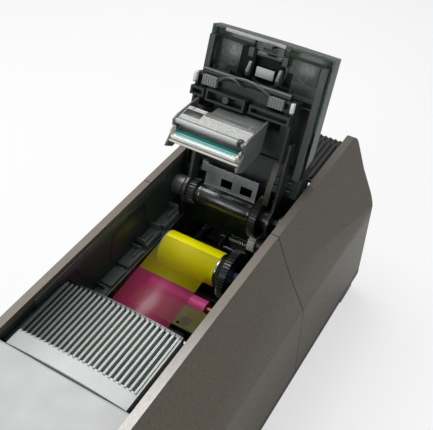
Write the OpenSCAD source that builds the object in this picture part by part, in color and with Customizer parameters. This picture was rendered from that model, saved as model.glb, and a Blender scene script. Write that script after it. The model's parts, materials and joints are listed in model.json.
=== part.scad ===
/* [Body] */
// Length of the body from front face to rear face
body_l = 436; // [430:1:450]
// Height of the side walls' top strips above the table
wall_h = 210.5; // [209:0.5:214]
// Half the clear width between the side walls
bay_half = 62.5; // [62:0.5:65]
// Width of the flat strip along the top of each wall
strip_w = 7.5; // [6:0.5:10]
// How far the upper facet of a wall leans out
facet_hi_out = 14; // [10:0.5:18]
// How far the upper facet of a wall comes down
facet_hi_drop = 39; // [30:1:46]
// How far the lower facet of a wall leans out
facet_lo_out = 18; // [12:0.5:22]
// How far the lower facet of a wall comes down
facet_lo_drop = 40; // [30:1:46]
// How far the straight skirt of a wall spreads down to its foot
skirt_out = 1; // [0.5:0.5:3]
// Thickness of the outer panels
panel_t = 2.5; // [2:0.25:3.5]
// Place along the body of the seam between front and rear panels
seam_y = 47; // [30:1:60]
// Width of the seam
seam_gap = 0.8; // [0.4:0.2:1.6]
// Radius of the body's upright corners
corner_r = 8; // [4:1:10]
// Radius of the wall tops at both ends
crown_r = 10; // [5:1:11]
// Length of the closed block at each panel's end
end_block = 12; // [11.5:0.5:14]
// Thickness of the inner wall liners
liner_t = 1.8; // [1.4:0.2:1.8]

/* [Base] */
// Height of the feet under the tray
foot_h = 28; // [24:1:32]
// Thickness of the rubber pad under each foot
pad_h = 6; // [4:1:10]
// Radius of a rubber pad
pad_r = 10; // [7:0.5:11]
// Height of the tray's lip
tray_lip = 8; // [6:0.5:10]
// Height of the dark groove above the lip
groove_h = 2; // [1:0.5:4]
// Depth of the groove above the lip
groove_in = 3; // [2:0.5:5]
// Thickness of the tray's floor
tray_floor = 3; // [2:0.5:5]

/* [Chassis] */
// Inner face of the left chassis plate
plate_left_x = -48.5; // [-49:0.25:-48.25]
// Inner face of the right chassis plate
plate_right_x = 52; // [51:0.5:52.5]
// Thickness of a chassis plate
plate_t = 2; // [1.5:0.25:2.5]
// Height of the plates' top edge
plate_top = 152; // [151:0.5:155]
// Height of the ledge tops beside the plates
ledge_top = 158; // [156:1:160]
// Height of the card path above the table
card_z = 120; // [119.5:0.25:120.5]
// Thickness of the card path strips
strip_t = 2; // [1.5:0.25:3]

/* [Hinge] */
// Place of the lid's hinge axis along the body
hinge_y = 88; // [87.5:0.25:88.5]
// Height of the hinge axis
hinge_z = 181.5; // [181:0.25:182.5]
// Radius of the hinge shaft
hinge_r = 4; // [3:0.25:5]
// Radial running clearance of every turning shaft
run_fit = 0.05; // [0.03:0.01:0.08]
// Angle by which the lid stands open
open_angle = 112; // [108:1:114]
// Radius of the barrel on the hinge shaft
barrel_r = 10.5; // [10:0.5:12.5]
// Radius of the round eye of each lid arm
eye_r = 15; // [13:0.5:16]
// Teeth of the hinge gear
hinge_teeth = 40; // [38:1:40]
// Teeth of the damper pinion
damper_teeth = 16; // [15:1:17]

/* [Lid] */
// Width of the lid
lid_w = 120; // [117:1:122]
// Reach of the lid from the hinge axis to its free edge
lid_reach = 156.7; // [154:0.1:159]
// Reach of the lid behind the hinge axis
lid_tail = 40; // [34:1:41]
// Height of the lid's outer face above the hinge axis
lid_rise = 25; // [24.5:0.5:27]
// Thickness of the lid's outer shell
lid_t = 2.4; // [1.8:0.2:2.6]
// Radius of the lid's crown across its width
lid_crown = 450; // [400:10:700]
// Depth of the lid's side skirts
lid_skirt = 15; // [10:1:16]

/* [Print head] */
// Centre line of the head and ribbon across the body
head_x = -13; // [-13.5:0.25:-12.5]
// Width of the ceramic strip
head_w = 64; // [60:0.5:65]
// Depth of the ceramic strip
head_d = 16; // [14:0.5:17]
// Depth of the cast plate behind the film rod
cast_d = 20; // [18:0.5:22]
// Travel of the head against its springs
head_travel = 2; // [1:0.25:2.5]
// Radius of the head's guide posts
post_r = 3; // [2:0.25:3.5]
// Radius of the film rod at the head's front
rod_r = 2.2; // [1.5:0.1:2.4]
// Radius of the guard wire
wire_r = 0.9; // [0.6:0.1:1]

/* [Ribbon] */
// Width of the colour ribbon film
film_w = 60; // [56:0.5:61]
// Thickness of the film, drawn heavier than life
film_t = 0.3; // [0.2:0.05:0.4]
// Radius of film on the supply core
supply_r = 17; // [14:0.5:17.5]
// Radius of film on the take-up core
takeup_r = 8; // [7:0.5:9]
// Radius of both cores
core_r = 6; // [5:0.25:6.5]
// Place of the supply spool along the body
supply_y = 42; // [41.5:0.25:42.5]
// Height of the supply spool
supply_z = 142; // [141.5:0.25:142.25]
// Distance from the hopper back to the take-up spool's axis
takeup_back = 20.9; // [20.4:0.1:23]
// Height of the take-up spool
takeup_z = 139; // [138:0.5:141]
// Teeth of the supply spool's gear
supply_teeth = 48; // [46:1:48]
// Teeth of the idler under the supply spool
ribbon_idler_teeth = 18; // [16:1:18]
// Teeth of the take-up spool's gear
takeup_teeth = 36; // [34:1:37]
// Teeth of the ribbon motor's pinion
ribbon_pinion_teeth = 14; // [13:1:15]

/* [Rollers] */
// Place of the platen along the body
platen_y = 16; // [15.75:0.25:16.25]
// Radius of the rubber rollers
roller_r = 8; // [7:0.25:8.25]
// Radius of the rollers' axles
axle_r = 4; // [3:0.25:4.5]
// Teeth of the platen and feed gears
roller_teeth = 24; // [23:1:25]
// Teeth of the idler between them
idler_teeth = 21; // [20:1:22]
// Teeth of the drive motor's pinion
pinion_teeth = 12; // [12:1:13]
// Distance of the pick roller ahead of the hopper's rear wall
pick_ahead = 27.1; // [24:0.1:32]

/* [Hopper and tray] */
// Length of a card
card_l = 85.6; // [85:0.1:86]
// Width of a card
card_w = 54; // [53.5:0.1:54.2]
// Room round a card in the hopper
card_room = 0.5; // [0.3:0.1:0.8]
// Wall of the hopper
hopper_t = 2; // [1.5:0.25:2.5]
// Room from the hopper's top edge up to its cover's top
hopper_head = 18; // [16.5:0.5:28]
// Width of the output tray
tray_w = 72; // [66:1:76]
// Height of the output tray's face
tray_face_h = 44; // [38:1:46]
// Depth of the output tray
tray_d = 80; // [70:1:84]

/* [Springs] */
// Wire radius of the thick spring
coil_a_wire = 0.7; // [0.5:0.05:0.75]
// Mean radius of the thick spring
coil_a_r = 3.2; // [2.8:0.1:3.6]
// Curls of the thick spring
coil_a_n = 9; // [7:1:9]
// Wire radius of the thin spring
coil_b_wire = 0.45; // [0.35:0.05:0.5]
// Mean radius of the thin spring
coil_b_r = 2; // [1.8:0.1:2.4]
// Curls of the thin spring
coil_b_n = 13; // [10:1:13]

/* [Hidden] */
$fn = 48;

// Outline of a wall, from the top strip down to the foot
strip_x = bay_half + strip_w;
knee_hi = [strip_x + facet_hi_out, wall_h - facet_hi_drop];
knee_lo = [knee_hi[0] + facet_lo_out, knee_hi[1] - facet_lo_drop];
foot_x = knee_lo[0] + skirt_out;
tray_top = foot_h + tray_lip + groove_h;
tray_in_z = foot_h + tray_floor;
half_l = body_l / 2;
inner_l = half_l - end_block;
lip_w = 2;
lip_h = 4;
liner_x = bay_half + 0.1;
liner_top = wall_h - panel_t - lip_h;
face_t = 4;

// Places worked out from the gears that mesh
idler_y = platen_y - (roller_teeth + idler_teeth) / 2;
feed_y = platen_y - roller_teeth - idler_teeth;
axle_z = card_z - roller_r;
pinion_z = axle_z - (idler_teeth + pinion_teeth) / 2;
ribbon_idler_a = -60;
ribbon_idler_c = (supply_teeth + ribbon_idler_teeth) / 2;
ribbon_idler_y = supply_y + ribbon_idler_c * cos(ribbon_idler_a);
ribbon_idler_z = supply_z + ribbon_idler_c * sin(ribbon_idler_a);
ribbon_pinion_z = takeup_z - (takeup_teeth + ribbon_pinion_teeth) / 2;
damper_a = -110;
damper_c = (hinge_teeth + damper_teeth) / 2;
damper_y = hinge_y + damper_c * cos(damper_a);
damper_z = hinge_z + damper_c * sin(damper_a);

// Planes across the body where the gears lie
ribbon_gear_x = [25, 32];
hinge_gear_x = [28, 35];
roller_gear_x = [plate_right_x + plate_t + 1, plate_right_x + plate_t + 6];
film_x0 = head_x - film_w / 2;
film_x1 = head_x + film_w / 2;
roller_x0 = head_x - 33;
roller_x1 = head_x + 31;
pin_r = 2;
idler_axle_r = 3;

// The closed lid, from its free edge back to its tail
lid_z = hinge_z + lid_rise;
lid_y0 = hinge_y - lid_reach;
lid_y1 = hinge_y + lid_tail;
lid_edge_z = lid_z - lid_crown + sqrt(pow(lid_crown, 2) - pow(lid_w / 2, 2));
frame_z = hinge_z + 10.5;
frame_t = 2.6;
frame_x = lid_w / 2 - 2.2;
frame_y1 = hinge_y - 24;
arm_t = 3;
arm_left_x = plate_left_x + 1.5;
arm_right_x = plate_right_x - 9;
carriage_x0 = head_x - 43;
carriage_x1 = arm_right_x;
carriage_y0 = platen_y - 44;
carriage_y1 = platen_y + 12;
carriage_z = hinge_z - 10.5;
carriage_t = 5;
carriage_rim = 3.5;
latch_y = lid_y0 + 14;
latch_z = frame_z - 2;
deck_z = hinge_z - 59.5;

// The print head, whose faces lie level while the lid stands open, is drawn from its burn edge
head_edge = [platen_y + 5.6, card_z + 1];
head_lean = open_angle - 90;
function on_head(back, up) = head_edge + back * [-sin(head_lean), cos(head_lean)]
  - up * [cos(head_lean), sin(head_lean)];
ceramic_t = 2.8;
cheek_t = 1.6;
head_x0 = head_x - 33.2;
head_x1 = ribbon_gear_x[0] - 0.6 - cheek_t;
head_top = head_edge[1] + 32;
cast_y = head_d - 2.4;
cast_z = 11;
post_y = platen_y - 6;

// The hopper, its cover and the tray below
hopper_y0 = -half_l + face_t + 0.5;
hopper_y1 = hopper_y0 + card_l + 2 * (hopper_t + card_room);
hopper_w = card_w + 2 * (hopper_t + card_room);
cover_z = wall_h - 6.5;
hopper_top = cover_z - hopper_head;
plate_front_y = hopper_y1 + 0.9;
takeup_y = hopper_y1 + takeup_back;
pick_y = hopper_y1 - pick_ahead;
cover_t = 2.5;
cover_hinge_y = -half_l + 63;
cover_hinge_z = cover_z - cover_t;
cover_x = bay_half - 1.5;
cover_drop = 34;
bezel_top = cover_z - cover_drop - 0.5;
tray_z = 60;
button_x = 45;
button_z = 120;
button_r = 6;
ribs_n = 24;
ribs_pitch = 4.6;
rib_t = 1.8;
rib_front_y = cover_hinge_y + 17;
cover_rear_y = lid_y0 - 10.3;

// Shapes along the three axes
module bar_x(r, x0, x1, y, z) {
  translate([x0, y, z]) rotate([0, 90, 0]) cylinder(r = r, h = x1 - x0);
}
module bar_z(r, x, y, z0, z1) { translate([x, y, z0]) cylinder(r = r, h = z1 - z0); }
module along_x(x0, x1) {
  translate([x0, 0, 0]) rotate([90, 0, 90]) linear_extrude(x1 - x0) children();
}
module along_y(y0, y1) {
  translate([0, y1, 0]) rotate([90, 0, 0]) linear_extrude(y1 - y0) children();
}
module block(x0, x1, y0, y1, z0, z1) {
  translate([x0, y0, z0]) cube([x1 - x0, y1 - y0, z1 - z0]);
}
module round_rect(x0, x1, y0, y1, r) {
  translate([x0 + r, y0]) square([x1 - x0 - 2 * r, y1 - y0]);
  translate([x0, y0 + r]) square([x1 - x0, y1 - y0 - 2 * r]);
  for (x = [x0 + r, x1 - r], y = [y0 + r, y1 - r]) translate([x, y]) circle(r);
}

// A spur gear across X; a tooth points along the angle toward
module gear(teeth, x, y, z, toward, bore = 0) {
  step = 360 / teeth;
  root = teeth / 2 - 1.05;
  tip = teeth / 2 + 0.7;
  shares = [[-0.28, root], [-0.11, tip], [0.11, tip], [0.28, root]];
  pts = [for (i = [0:teeth - 1], s = shares)
    [s[1] * cos(toward + (i + s[0]) * step), s[1] * sin(toward + (i + s[0]) * step)]];
  difference() {
    translate([0, y, z]) along_x(x[0], x[1]) polygon(pts);
    if (bore > 0) bar_x(bore, x[0] - 1, x[1] + 1, y, z);
  }
}
// The angle at which a mate's tooth gap meets a tooth that points along a
function mate(a, teeth) = a + 180 + 180 / teeth;

// Turns what is drawn for the closed lid to the open rest position
module opened() {
  translate([0, hinge_y, hinge_z]) rotate([-open_angle, 0, 0])
    translate([0, -hinge_y, -hinge_z]) children();
}

// A wire coil along X from x0 to x1, as one tube
function coil_pt(t, n, r, x0, x1, lead) =
  let (u = max(0, min(1, (t - lead) / (1 - 2 * lead))), a = 360 * n * u)
  [x0 + (x1 - x0) * t, r * cos(a), r * sin(a)];
function coil_path(n, r, x0, x1, lead, rings) =
  [for (i = [0:rings]) coil_pt(i / rings, n, r, x0, x1, lead)];
function unit(v) = v / norm(v);
function ring(p, q, r, s, wire) =
  let (d = unit(q - p), h = unit(cross(d, r)), k = cross(h, d))
  [for (j = [0:s - 1]) wire * (cos(360 * j / s) * h + sin(360 * j / s) * k)];
module tube(path, wire, sides = 6) {
  n = len(path);
  rings = [for (i = [0:n - 1])
    let (a = path[max(0, i - 1)], b = path[min(n - 1, i + 1)],
         out = [0, path[i][1], path[i][2]])
    [for (v = ring(a, b, out, sides, wire)) path[i] + v]];
  pts = [for (r = rings, p = r) p];
  walls = [for (i = [0:n - 2], j = [0:sides - 1]) for (half = [0, 1])
    let (k = (j + 1) % sides, a = i * sides + j, b = i * sides + k,
         c = (i + 1) * sides + j, d = (i + 1) * sides + k)
    half == 0 ? [a, b, d] : [a, d, c]];
  caps = [[for (j = [0:sides - 1]) sides - 1 - j], [for (j = [0:sides - 1]) (n - 1) * sides + j]];
  polyhedron(points = pts, faces = concat(walls, caps), convexity = 4);
}
spring_x = [1.5, 26];
coil_lead = 0.06;
coil_gap_a = (spring_x[1] - spring_x[0]) * (1 - 2 * coil_lead) / coil_a_n - 2 * coil_a_wire;
coil_gap_b = (spring_x[1] - spring_x[0]) * (1 - 2 * coil_lead) / coil_b_n - 2 * coil_b_wire;
echo(least_gap_thick_spring = coil_gap_a, least_gap_thin_spring = coil_gap_b);

module base_tray() {
  leg_x = foot_x - 16;
  leg_y = half_l - 24;
  color("#26282a") difference() {
    union() {
      translate([0, 0, foot_h]) linear_extrude(tray_lip)
        round_rect(-foot_x, foot_x, -half_l, half_l, corner_r);
      translate([0, 0, foot_h]) linear_extrude(tray_lip + groove_h)
        round_rect(-foot_x + groove_in, foot_x - groove_in, -half_l + groove_in,
          half_l - groove_in, corner_r);
      block(-foot_x + 26, foot_x - 26, -half_l + 40, half_l - 40, foot_h - 12, foot_h);
      for (x = [-leg_x, leg_x], y = [-leg_y, leg_y])
        block(x - 12, x + 12, y - 16, y + 16, pad_h, foot_h);
    }
    block(-foot_x + 10, foot_x - 10, -half_l + 10, half_l - 10, tray_in_z, tray_top + 1);
  }
}

module rubber_feet() {
  leg_x = foot_x - 16;
  leg_y = half_l - 24;
  color("#1a1a1a") for (x = [-leg_x, leg_x], y = [-leg_y, leg_y])
    translate([x, y, 0]) cylinder(r = pad_r, h = pad_h);
}

module wall_ring() {
  t = panel_t;
  polygon([[bay_half, wall_h], [strip_x, wall_h], knee_hi, knee_lo, [foot_x, tray_top],
    [foot_x - t, tray_top], knee_lo + [-1.08 * t, -0.25 * t], knee_hi + [-1.08 * t, -0.1 * t],
    [strip_x - 0.7 * t, wall_h - t], [bay_half + lip_w, wall_h - t],
    [bay_half + lip_w, wall_h - t - lip_h], [bay_half, wall_h - t - lip_h]]);
}
module wall_fill() {
  polygon([[bay_half, wall_h], [strip_x, wall_h], knee_hi, knee_lo, [foot_x, tray_top],
    [bay_half, tray_top]]);
}
module side_panel(y0, y1, end) {
  color("#5c5850") intersection() {
    union() {
      along_y(y0, y1) wall_ring();
      if (end < 0) along_y(-half_l, -inner_l) wall_fill();
      if (end > 0) along_y(inner_l, half_l) wall_fill();
    }
    along_x(0, foot_x + 1) round_rect(-half_l, half_l, tray_top - 2 * crown_r, wall_h, crown_r);
    translate([0, 0, tray_top - 1]) linear_extrude(wall_h)
      round_rect(-foot_x, foot_x, -half_l, half_l, corner_r);
  }
}
module side_panel_left_front() {
  mirror([1, 0, 0]) side_panel(-inner_l, seam_y - seam_gap / 2, -1);
}
module side_panel_left_rear() {
  mirror([1, 0, 0]) side_panel(seam_y + seam_gap / 2, inner_l, 1);
}
module side_panel_right_front() { side_panel(-inner_l, seam_y - seam_gap / 2, -1); }
module side_panel_right_rear() { side_panel(seam_y + seam_gap / 2, inner_l, 1); }

module wall_liners() {
  color("#2b2e2c") for (s = [0, 1]) mirror([s, 0, 0]) difference() {
    block(liner_x, liner_x + liner_t, -inner_l, inner_l, tray_in_z, liner_top);
    bar_x(1.5 + run_fit, liner_x - 1, liner_x + liner_t + 1, cover_hinge_y, cover_hinge_z);
  }
}

module ledge(x0, x1) {
  block(x0, x1, -70, 76, plate_top - 14, ledge_top - 6);
  for (s = [[-58, -40, 5], [-36, -14, 3], [-10, 14, 2], [20, 44, 0], [50, 76, 0]])
    block(x0, x1, s[0], s[1], ledge_top - 6, ledge_top - s[2]);
}
module ledges() {
  color("#b9bbb6") {
    ledge(-liner_x, plate_left_x - plate_t);
    ledge(plate_right_x + plate_t, liner_x);
  }
}

module chassis_plate(x, bores) {
  ear = 9;
  color("#8d9092") difference() {
    union() {
      block(x, x + plate_t, plate_front_y, hinge_y, tray_in_z, plate_top);
      block(x, x + plate_t, hinge_y - ear, hinge_y, plate_top - 1, hinge_z);
      bar_x(ear, x, x + plate_t, hinge_y, hinge_z);
    }
    bar_x(hinge_r, x - 1, x + plate_t + 1, hinge_y, hinge_z);
    for (b = bores) bar_x(b[0], x - 1, x + plate_t + 1, b[1], b[2]);
    along_x(x - 1, x + plate_t + 1) round_rect(-90, -55, 50, 90, 6);
    along_x(x - 1, x + plate_t + 1) round_rect(20, 70, 50, 90, 6);
  }
}
spool_bores = [
  [axle_r + run_fit, supply_y, supply_z],
  [axle_r + run_fit, takeup_y, takeup_z],
  [axle_r + run_fit, platen_y, axle_z],
  [axle_r + run_fit, feed_y, axle_z]];
module chassis_plate_left() { chassis_plate(plate_left_x - plate_t, spool_bores); }
module chassis_plate_right() {
  chassis_plate(plate_right_x, concat(spool_bores, [
    [idler_axle_r + run_fit, idler_y, axle_z],
    [pin_r + 0.4, idler_y, pinion_z],
    [idler_axle_r + run_fit, ribbon_idler_y, ribbon_idler_z]]));
}

module front_bridge() {
  color("#1e2021") difference() {
    block(-liner_x, liner_x, rib_front_y - 10, cover_rear_y - 5, wall_h - 22, wall_h - 14);
    block(-40, 40, rib_front_y + 2, cover_rear_y - 17, wall_h - 23, wall_h - 17);
  }
}

// Height of the crowned top at x, for a crown whose middle is at top
function crown_at(x, top) = top - lid_crown + sqrt(pow(lid_crown, 2) - x * x);
module crowned(half, low, top) {
  intersection() {
    translate([-half, low]) square([2 * half, top - low + 1]);
    translate([0, top - lid_crown]) circle(lid_crown, $fn = 180);
  }
}
module ribbed_cover() {
  cover_y0 = cover_hinge_y + cover_t + 0.5;
  top = wall_h - 5;
  half = bay_half - 7;
  color("#c9cbc7") {
    difference() {
      along_y(cover_y0, cover_rear_y) crowned(half, wall_h - 14, top);
      for (i = [0:ribs_n - 2]) let (x = (i + 1 - ribs_n / 2) * ribs_pitch)
        block(x - (ribs_pitch - rib_t) / 2, x + (ribs_pitch - rib_t) / 2,
          rib_front_y + 1, cover_rear_y - 3, wall_h - 15, wall_h);
    }
    for (i = [0:ribs_n - 1])
      let (x = (i - (ribs_n - 1) / 2) * ribs_pitch)
      block(x - rib_t / 2, x + rib_t / 2, rib_front_y, cover_rear_y - 1, wall_h - 13,
        crown_at(x, top) + 1.3);
  }
}

module rear_vent_cover() {
  top = wall_h - 7.5;
  y0 = lid_y1 + 8;
  y1 = half_l;
  color("#17191a") {
    along_x(-bay_half, bay_half) polygon([[y0, top - 3], [y0, top], [y1 - 18, top],
      [y1 - 18, top - 4], [y1 - 6, top - 4], [y1, top - 10], [y1, top - 23], [y1 - 2.8, top - 23],
      [y1 - 2.8, top - 11], [y1 - 7, top - 6.8], [y1 - 21, top - 6.8], [y1 - 21, top - 3]]);
    for (i = [0:21]) let (x = (i - 10.5) * 5.4) {
      along_x(x - 1, x + 1) polygon([[y0 + 2, top], [y0 + 3, top + 2.6],
        [y1 - 20, top + 2.6], [y1 - 18.5, top]]);
      along_x(x - 1, x + 1) polygon([[y1 - 18, top - 4], [y1 - 17, top - 2], [y1 - 7, top - 2],
        [y1 - 4, top - 5], [y1 - 6, top - 4]]);
    }
  }
}

inlet_x = -34;
inlet_z = 64;
usb_x = 8;
net_x = 34;
port_z = 60;
module rear_panel() {
  y0 = half_l - 6;
  color("#232628") difference() {
    block(-bay_half, bay_half, y0, y0 + 3, tray_top, wall_h - 20.5);
    block(inlet_x - 13.5, inlet_x + 13.5, y0 - 1, y0 + 4, inlet_z - 10, inlet_z + 10);
    block(usb_x - 6, usb_x + 6, y0 - 1, y0 + 4, port_z - 5.5, port_z + 5.5);
    block(net_x - 8, net_x + 8, y0 - 1, y0 + 4, port_z - 7, port_z + 7);
    for (i = [0:9]) block(-45 + i * 9, -40 + i * 9, y0 - 1, y0 + 4, 110, 160);
  }
}

module power_inlet() {
  y1 = half_l - 6 + 3;
  color("#111111") {
    difference() {
      union() {
        block(inlet_x - 13.4, inlet_x + 13.4, y1 - 20, y1, inlet_z - 9.9, inlet_z + 9.9);
        block(inlet_x - 15.5, inlet_x + 15.5, y1, y1 + 1.6, inlet_z - 12, inlet_z + 12);
      }
      block(inlet_x - 12, inlet_x + 12, y1 - 15, y1 + 2, inlet_z - 8.2, inlet_z + 8.2);
    }
    for (p = [[-7, -1.5], [0, 2.5], [7, -1.5]])
      block(inlet_x + p[0] - 1, inlet_x + p[0] + 1, y1 - 15.5, y1 - 5,
        inlet_z + p[1] - 2, inlet_z + p[1] + 2);
  }
}

module data_ports() {
  y1 = half_l - 6 + 3;
  color("#a9abad") {
    difference() {
      block(usb_x - 6, usb_x + 6, y1 - 16, y1 + 0.6, port_z - 5.5, port_z + 5.5);
      block(usb_x - 4.4, usb_x + 4.4, y1 - 12, y1 + 1, port_z - 4, port_z + 4);
    }
    difference() {
      block(net_x - 8, net_x + 8, y1 - 16, y1 + 0.6, port_z - 7, port_z + 7);
      block(net_x - 6, net_x + 6, y1 - 13, y1 + 1, port_z - 5, port_z + 5);
    }
  }
}

module front_bezel() {
  y0 = -half_l;
  x0 = head_x - tray_w / 2 - 0.5;
  x1 = head_x + tray_w / 2 + 0.5;
  color("#c4c6c2") {
    difference() {
      block(-bay_half, bay_half, y0, y0 + face_t, tray_top, bezel_top);
      block(x0, x1, y0 - 1, y0 + face_t + 1, tray_z - 0.5, tray_z + tray_face_h + 0.5);
      translate([button_x, y0 - 1, button_z]) rotate([-90, 0, 0])
        cylinder(r = button_r + 0.3, h = face_t + 2);
    }
    block(x0 - 2, x1 + 2, y0 + face_t, y0 + face_t + tray_d + 4, tray_z - 3, tray_z - 0.3);
    for (x = [x0 - 2, x1]) block(x, x + 2, y0 + face_t, y0 + face_t + tray_d + 4,
      tray_top + 2, tray_z + 8);
    for (x = [button_x - 10, button_x + 8])
      block(x, x + 2, y0 + face_t, y0 + 18, button_z - 6, button_z + 6);
    block(button_x - 10, button_x + 10, y0 + 12.5, y0 + 18, button_z - 6, button_z + 6);
  }
}

module card_hopper() {
  x0 = head_x - hopper_w / 2;
  x1 = head_x + hopper_w / 2;
  top = hopper_top;
  exit_gap = 1.2;
  ear_x = 22;
  color("#3a3d40") {
    difference() {
      block(x0, x1, hopper_y0, hopper_y1, card_z - hopper_t, top);
      block(x0 + hopper_t, x1 - hopper_t, hopper_y0 + hopper_t, hopper_y1 - hopper_t,
        card_z, top + 1);
      block(x0 + hopper_t, x1 - hopper_t, hopper_y1 - hopper_t - 1, hopper_y1 + 1,
        card_z, card_z + exit_gap);
      block(head_x - 21, head_x + 21, pick_y - 10, pick_y + 10,
        card_z - hopper_t - 1, card_z + 1);
    }
    for (x = [head_x - ear_x - 2, head_x + ear_x]) difference() {
      block(x, x + 2, pick_y - 8, pick_y + 8, axle_z - 7, card_z - hopper_t);
      bar_x(idler_axle_r + run_fit, x - 1, x + 3, pick_y, axle_z);
    }
    block(-liner_x, x0, hopper_y0 + 12, hopper_y1 - 14, card_z + 22, card_z + 25);
    block(x1, liner_x, hopper_y0 + 12, hopper_y1 - 14, card_z + 22, card_z + 25);
  }
}

module card_strips() {
  z1 = card_z - 0.5;
  x0 = plate_left_x;
  x1 = plate_right_x;
  room = roller_r + 1.5;
  color("#7d7c68") {
    block(x0, x1, takeup_y + 22, feed_y - room, z1 - strip_t, z1);
    difference() {
      block(x0, x1, feed_y + room, platen_y - room, z1 - strip_t, z1);
      translate([6, feed_y + room + 4, z1 - strip_t - 1]) cylinder(r = 1.6, h = strip_t + 2);
    }
  }
}

module cross_bars() {
  color("#202224") {
    block(plate_left_x, plate_right_x, platen_y + 9.5, platen_y + 14, axle_z - 6, axle_z + 3);
    block(plate_left_x, plate_right_x, hinge_y - 16, hinge_y - 4, deck_z - 10, deck_z);
  }
}

coil_a_y = hinge_y - 4;
coil_a_z = hinge_z - 40.5;
coil_b_y = hinge_y - 16;
coil_b_z = hinge_z - 41.5;
module spring_bracket() {
  color("#9fa1a0") {
    block(spring_x[0] - 1.5, spring_x[1] + 1.5, hinge_y - 19, hinge_y, deck_z, deck_z + 1.5);
    for (x = [spring_x[0] - 1.5, spring_x[1]])
      block(x, x + 1.5, hinge_y - 19, hinge_y, deck_z, hinge_z - 34);
    bar_x(1.5, spring_x[0] - 8, spring_x[1], coil_a_y, coil_a_z);
    bar_x(0.9, spring_x[0] - 5, spring_x[1], coil_b_y, coil_b_z);
  }
}
module rod_springs() {
  color("#b7b4aa") {
    translate([0, coil_a_y, coil_a_z])
      tube(coil_path(coil_a_n, coil_a_r, spring_x[0], spring_x[1], coil_lead, coil_a_n * 9),
        coil_a_wire);
    translate([0, coil_b_y, coil_b_z])
      tube(coil_path(coil_b_n, coil_b_r, spring_x[0], spring_x[1], coil_lead, coil_b_n * 9),
        coil_b_wire);
  }
}

module toothed_rack() {
  y0 = hinge_y - 24;
  color("#151515") {
    block(-36, -31, y0, hinge_y + 16, deck_z, deck_z + 5);
    for (i = [0:12]) block(-36, -31, y0 + 1 + i * 3, y0 + 2.6 + i * 3, deck_z + 4.5, deck_z + 7);
  }
}

module motor(r, x0, y, z, depth) {
  difference() {
    union() {
      bar_x(r, x0, plate_right_x - 3, y, z);
      bar_x(r + 3, plate_right_x - 3, plate_right_x, y, z);
    }
    bar_x(pin_r + run_fit, depth[0], depth[1], y, z);
  }
}
module drive_motors() {
  color("#5f6366") {
    motor(14, 22, idler_y, pinion_z, [plate_right_x - 16, plate_right_x + 1]);
    motor(8, 34, takeup_y, ribbon_pinion_z, [33, 46]);
  }
}
module rotary_damper() {
  color("#2f3133") motor(7, 37, damper_y, damper_z, [36, 47]);
}

module hinge_shaft() {
  color("#c2c4c6") bar_x(hinge_r, -bay_half + 0.5, bay_half - 0.5, hinge_y, hinge_z);
}
module pivot_caps() {
  color("#9b9d9c") for (x = [[-bay_half + 0.5, plate_left_x - plate_t],
                             [plate_right_x + plate_t, bay_half - 0.5]]) difference() {
    bar_x(10, x[0], x[1], hinge_y, hinge_z);
    bar_x(hinge_r, x[0] - 1, x[1] + 1, hinge_y, hinge_z);
  }
}

module main_board() {
  z0 = tray_in_z + 5;
  color("#2e5d3c") {
    block(-44, 46, plate_front_y + 10, hinge_y - 8, z0, z0 + 1.6);
    for (x = [-38, 40], y = [plate_front_y + 16, hinge_y - 14])
      bar_z(3, x, y, tray_in_z, tray_in_z + 5);
    for (p = [[-30, -90, 16, 16, 2], [0, -80, 22, 22, 3], [-36, -40, 8, 30, 9],
              [20, -30, 14, 14, 2], [-10, 20, 30, 12, 8], [24, 40, 12, 26, 10]])
      block(p[0], p[0] + p[2], p[1], p[1] + p[3], z0 + 1.6, z0 + 1.6 + p[4]);
  }
}

module power_supply() {
  color("#85888a") difference() {
    block(-52, 52, lid_y1, half_l - 30, tray_in_z, tray_in_z + 46);
    for (i = [0:7]) block(-40 + i * 11, -34 + i * 11, lid_y1 + 12, half_l - 42,
      tray_in_z + 44, tray_in_z + 47);
  }
}

// The film leaves the supply roll and meets the take-up roll on their common tangent
film_d = [takeup_y - supply_y, takeup_z - supply_z];
film_a = atan2(film_d[1], film_d[0]) - acos((supply_r - takeup_r) / norm(film_d));
film_n = [cos(film_a), sin(film_a)];
film_p = [supply_y, supply_z] + film_n * (supply_r + 0.1);
film_q = [takeup_y, takeup_z] + film_n * (takeup_r + 0.1);
module ribbon_film() {
  color("#e2b93a") along_x(film_x0, film_x1)
    polygon([film_p, film_p + film_n * film_t, film_q + film_n * film_t, film_q]);
}

module spool_core(y, z) {
  bar_x(core_r, roller_x0 - 0.5, ribbon_gear_x[0], y, z);
  bar_x(axle_r, plate_left_x - plate_t + 0.1, plate_right_x + plate_t - 0.1, y, z);
}
module film_roll(r, y, z) {
  difference() {
    bar_x(r, film_x0, film_x1, y, z);
    bar_x(core_r, film_x0 - 1, film_x1 + 1, y, z);
  }
}
module supply_film_roll() { color("#d9a92c") film_roll(supply_r, supply_y, supply_z); }
module supply_core() { color("#5f86b5") spool_core(supply_y, supply_z); }
module supply_gear() {
  color("#1b1c1d") gear(supply_teeth, ribbon_gear_x, supply_y, supply_z, ribbon_idler_a, axle_r);
}
module takeup_spool() {
  color("#3b3444") {
    spool_core(takeup_y, takeup_z);
    bar_x(takeup_r, film_x0, film_x1, takeup_y, takeup_z);
  }
}
module takeup_gear() {
  color("#1b1c1d") gear(takeup_teeth, ribbon_gear_x, takeup_y, takeup_z, -90, axle_r);
}

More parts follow.
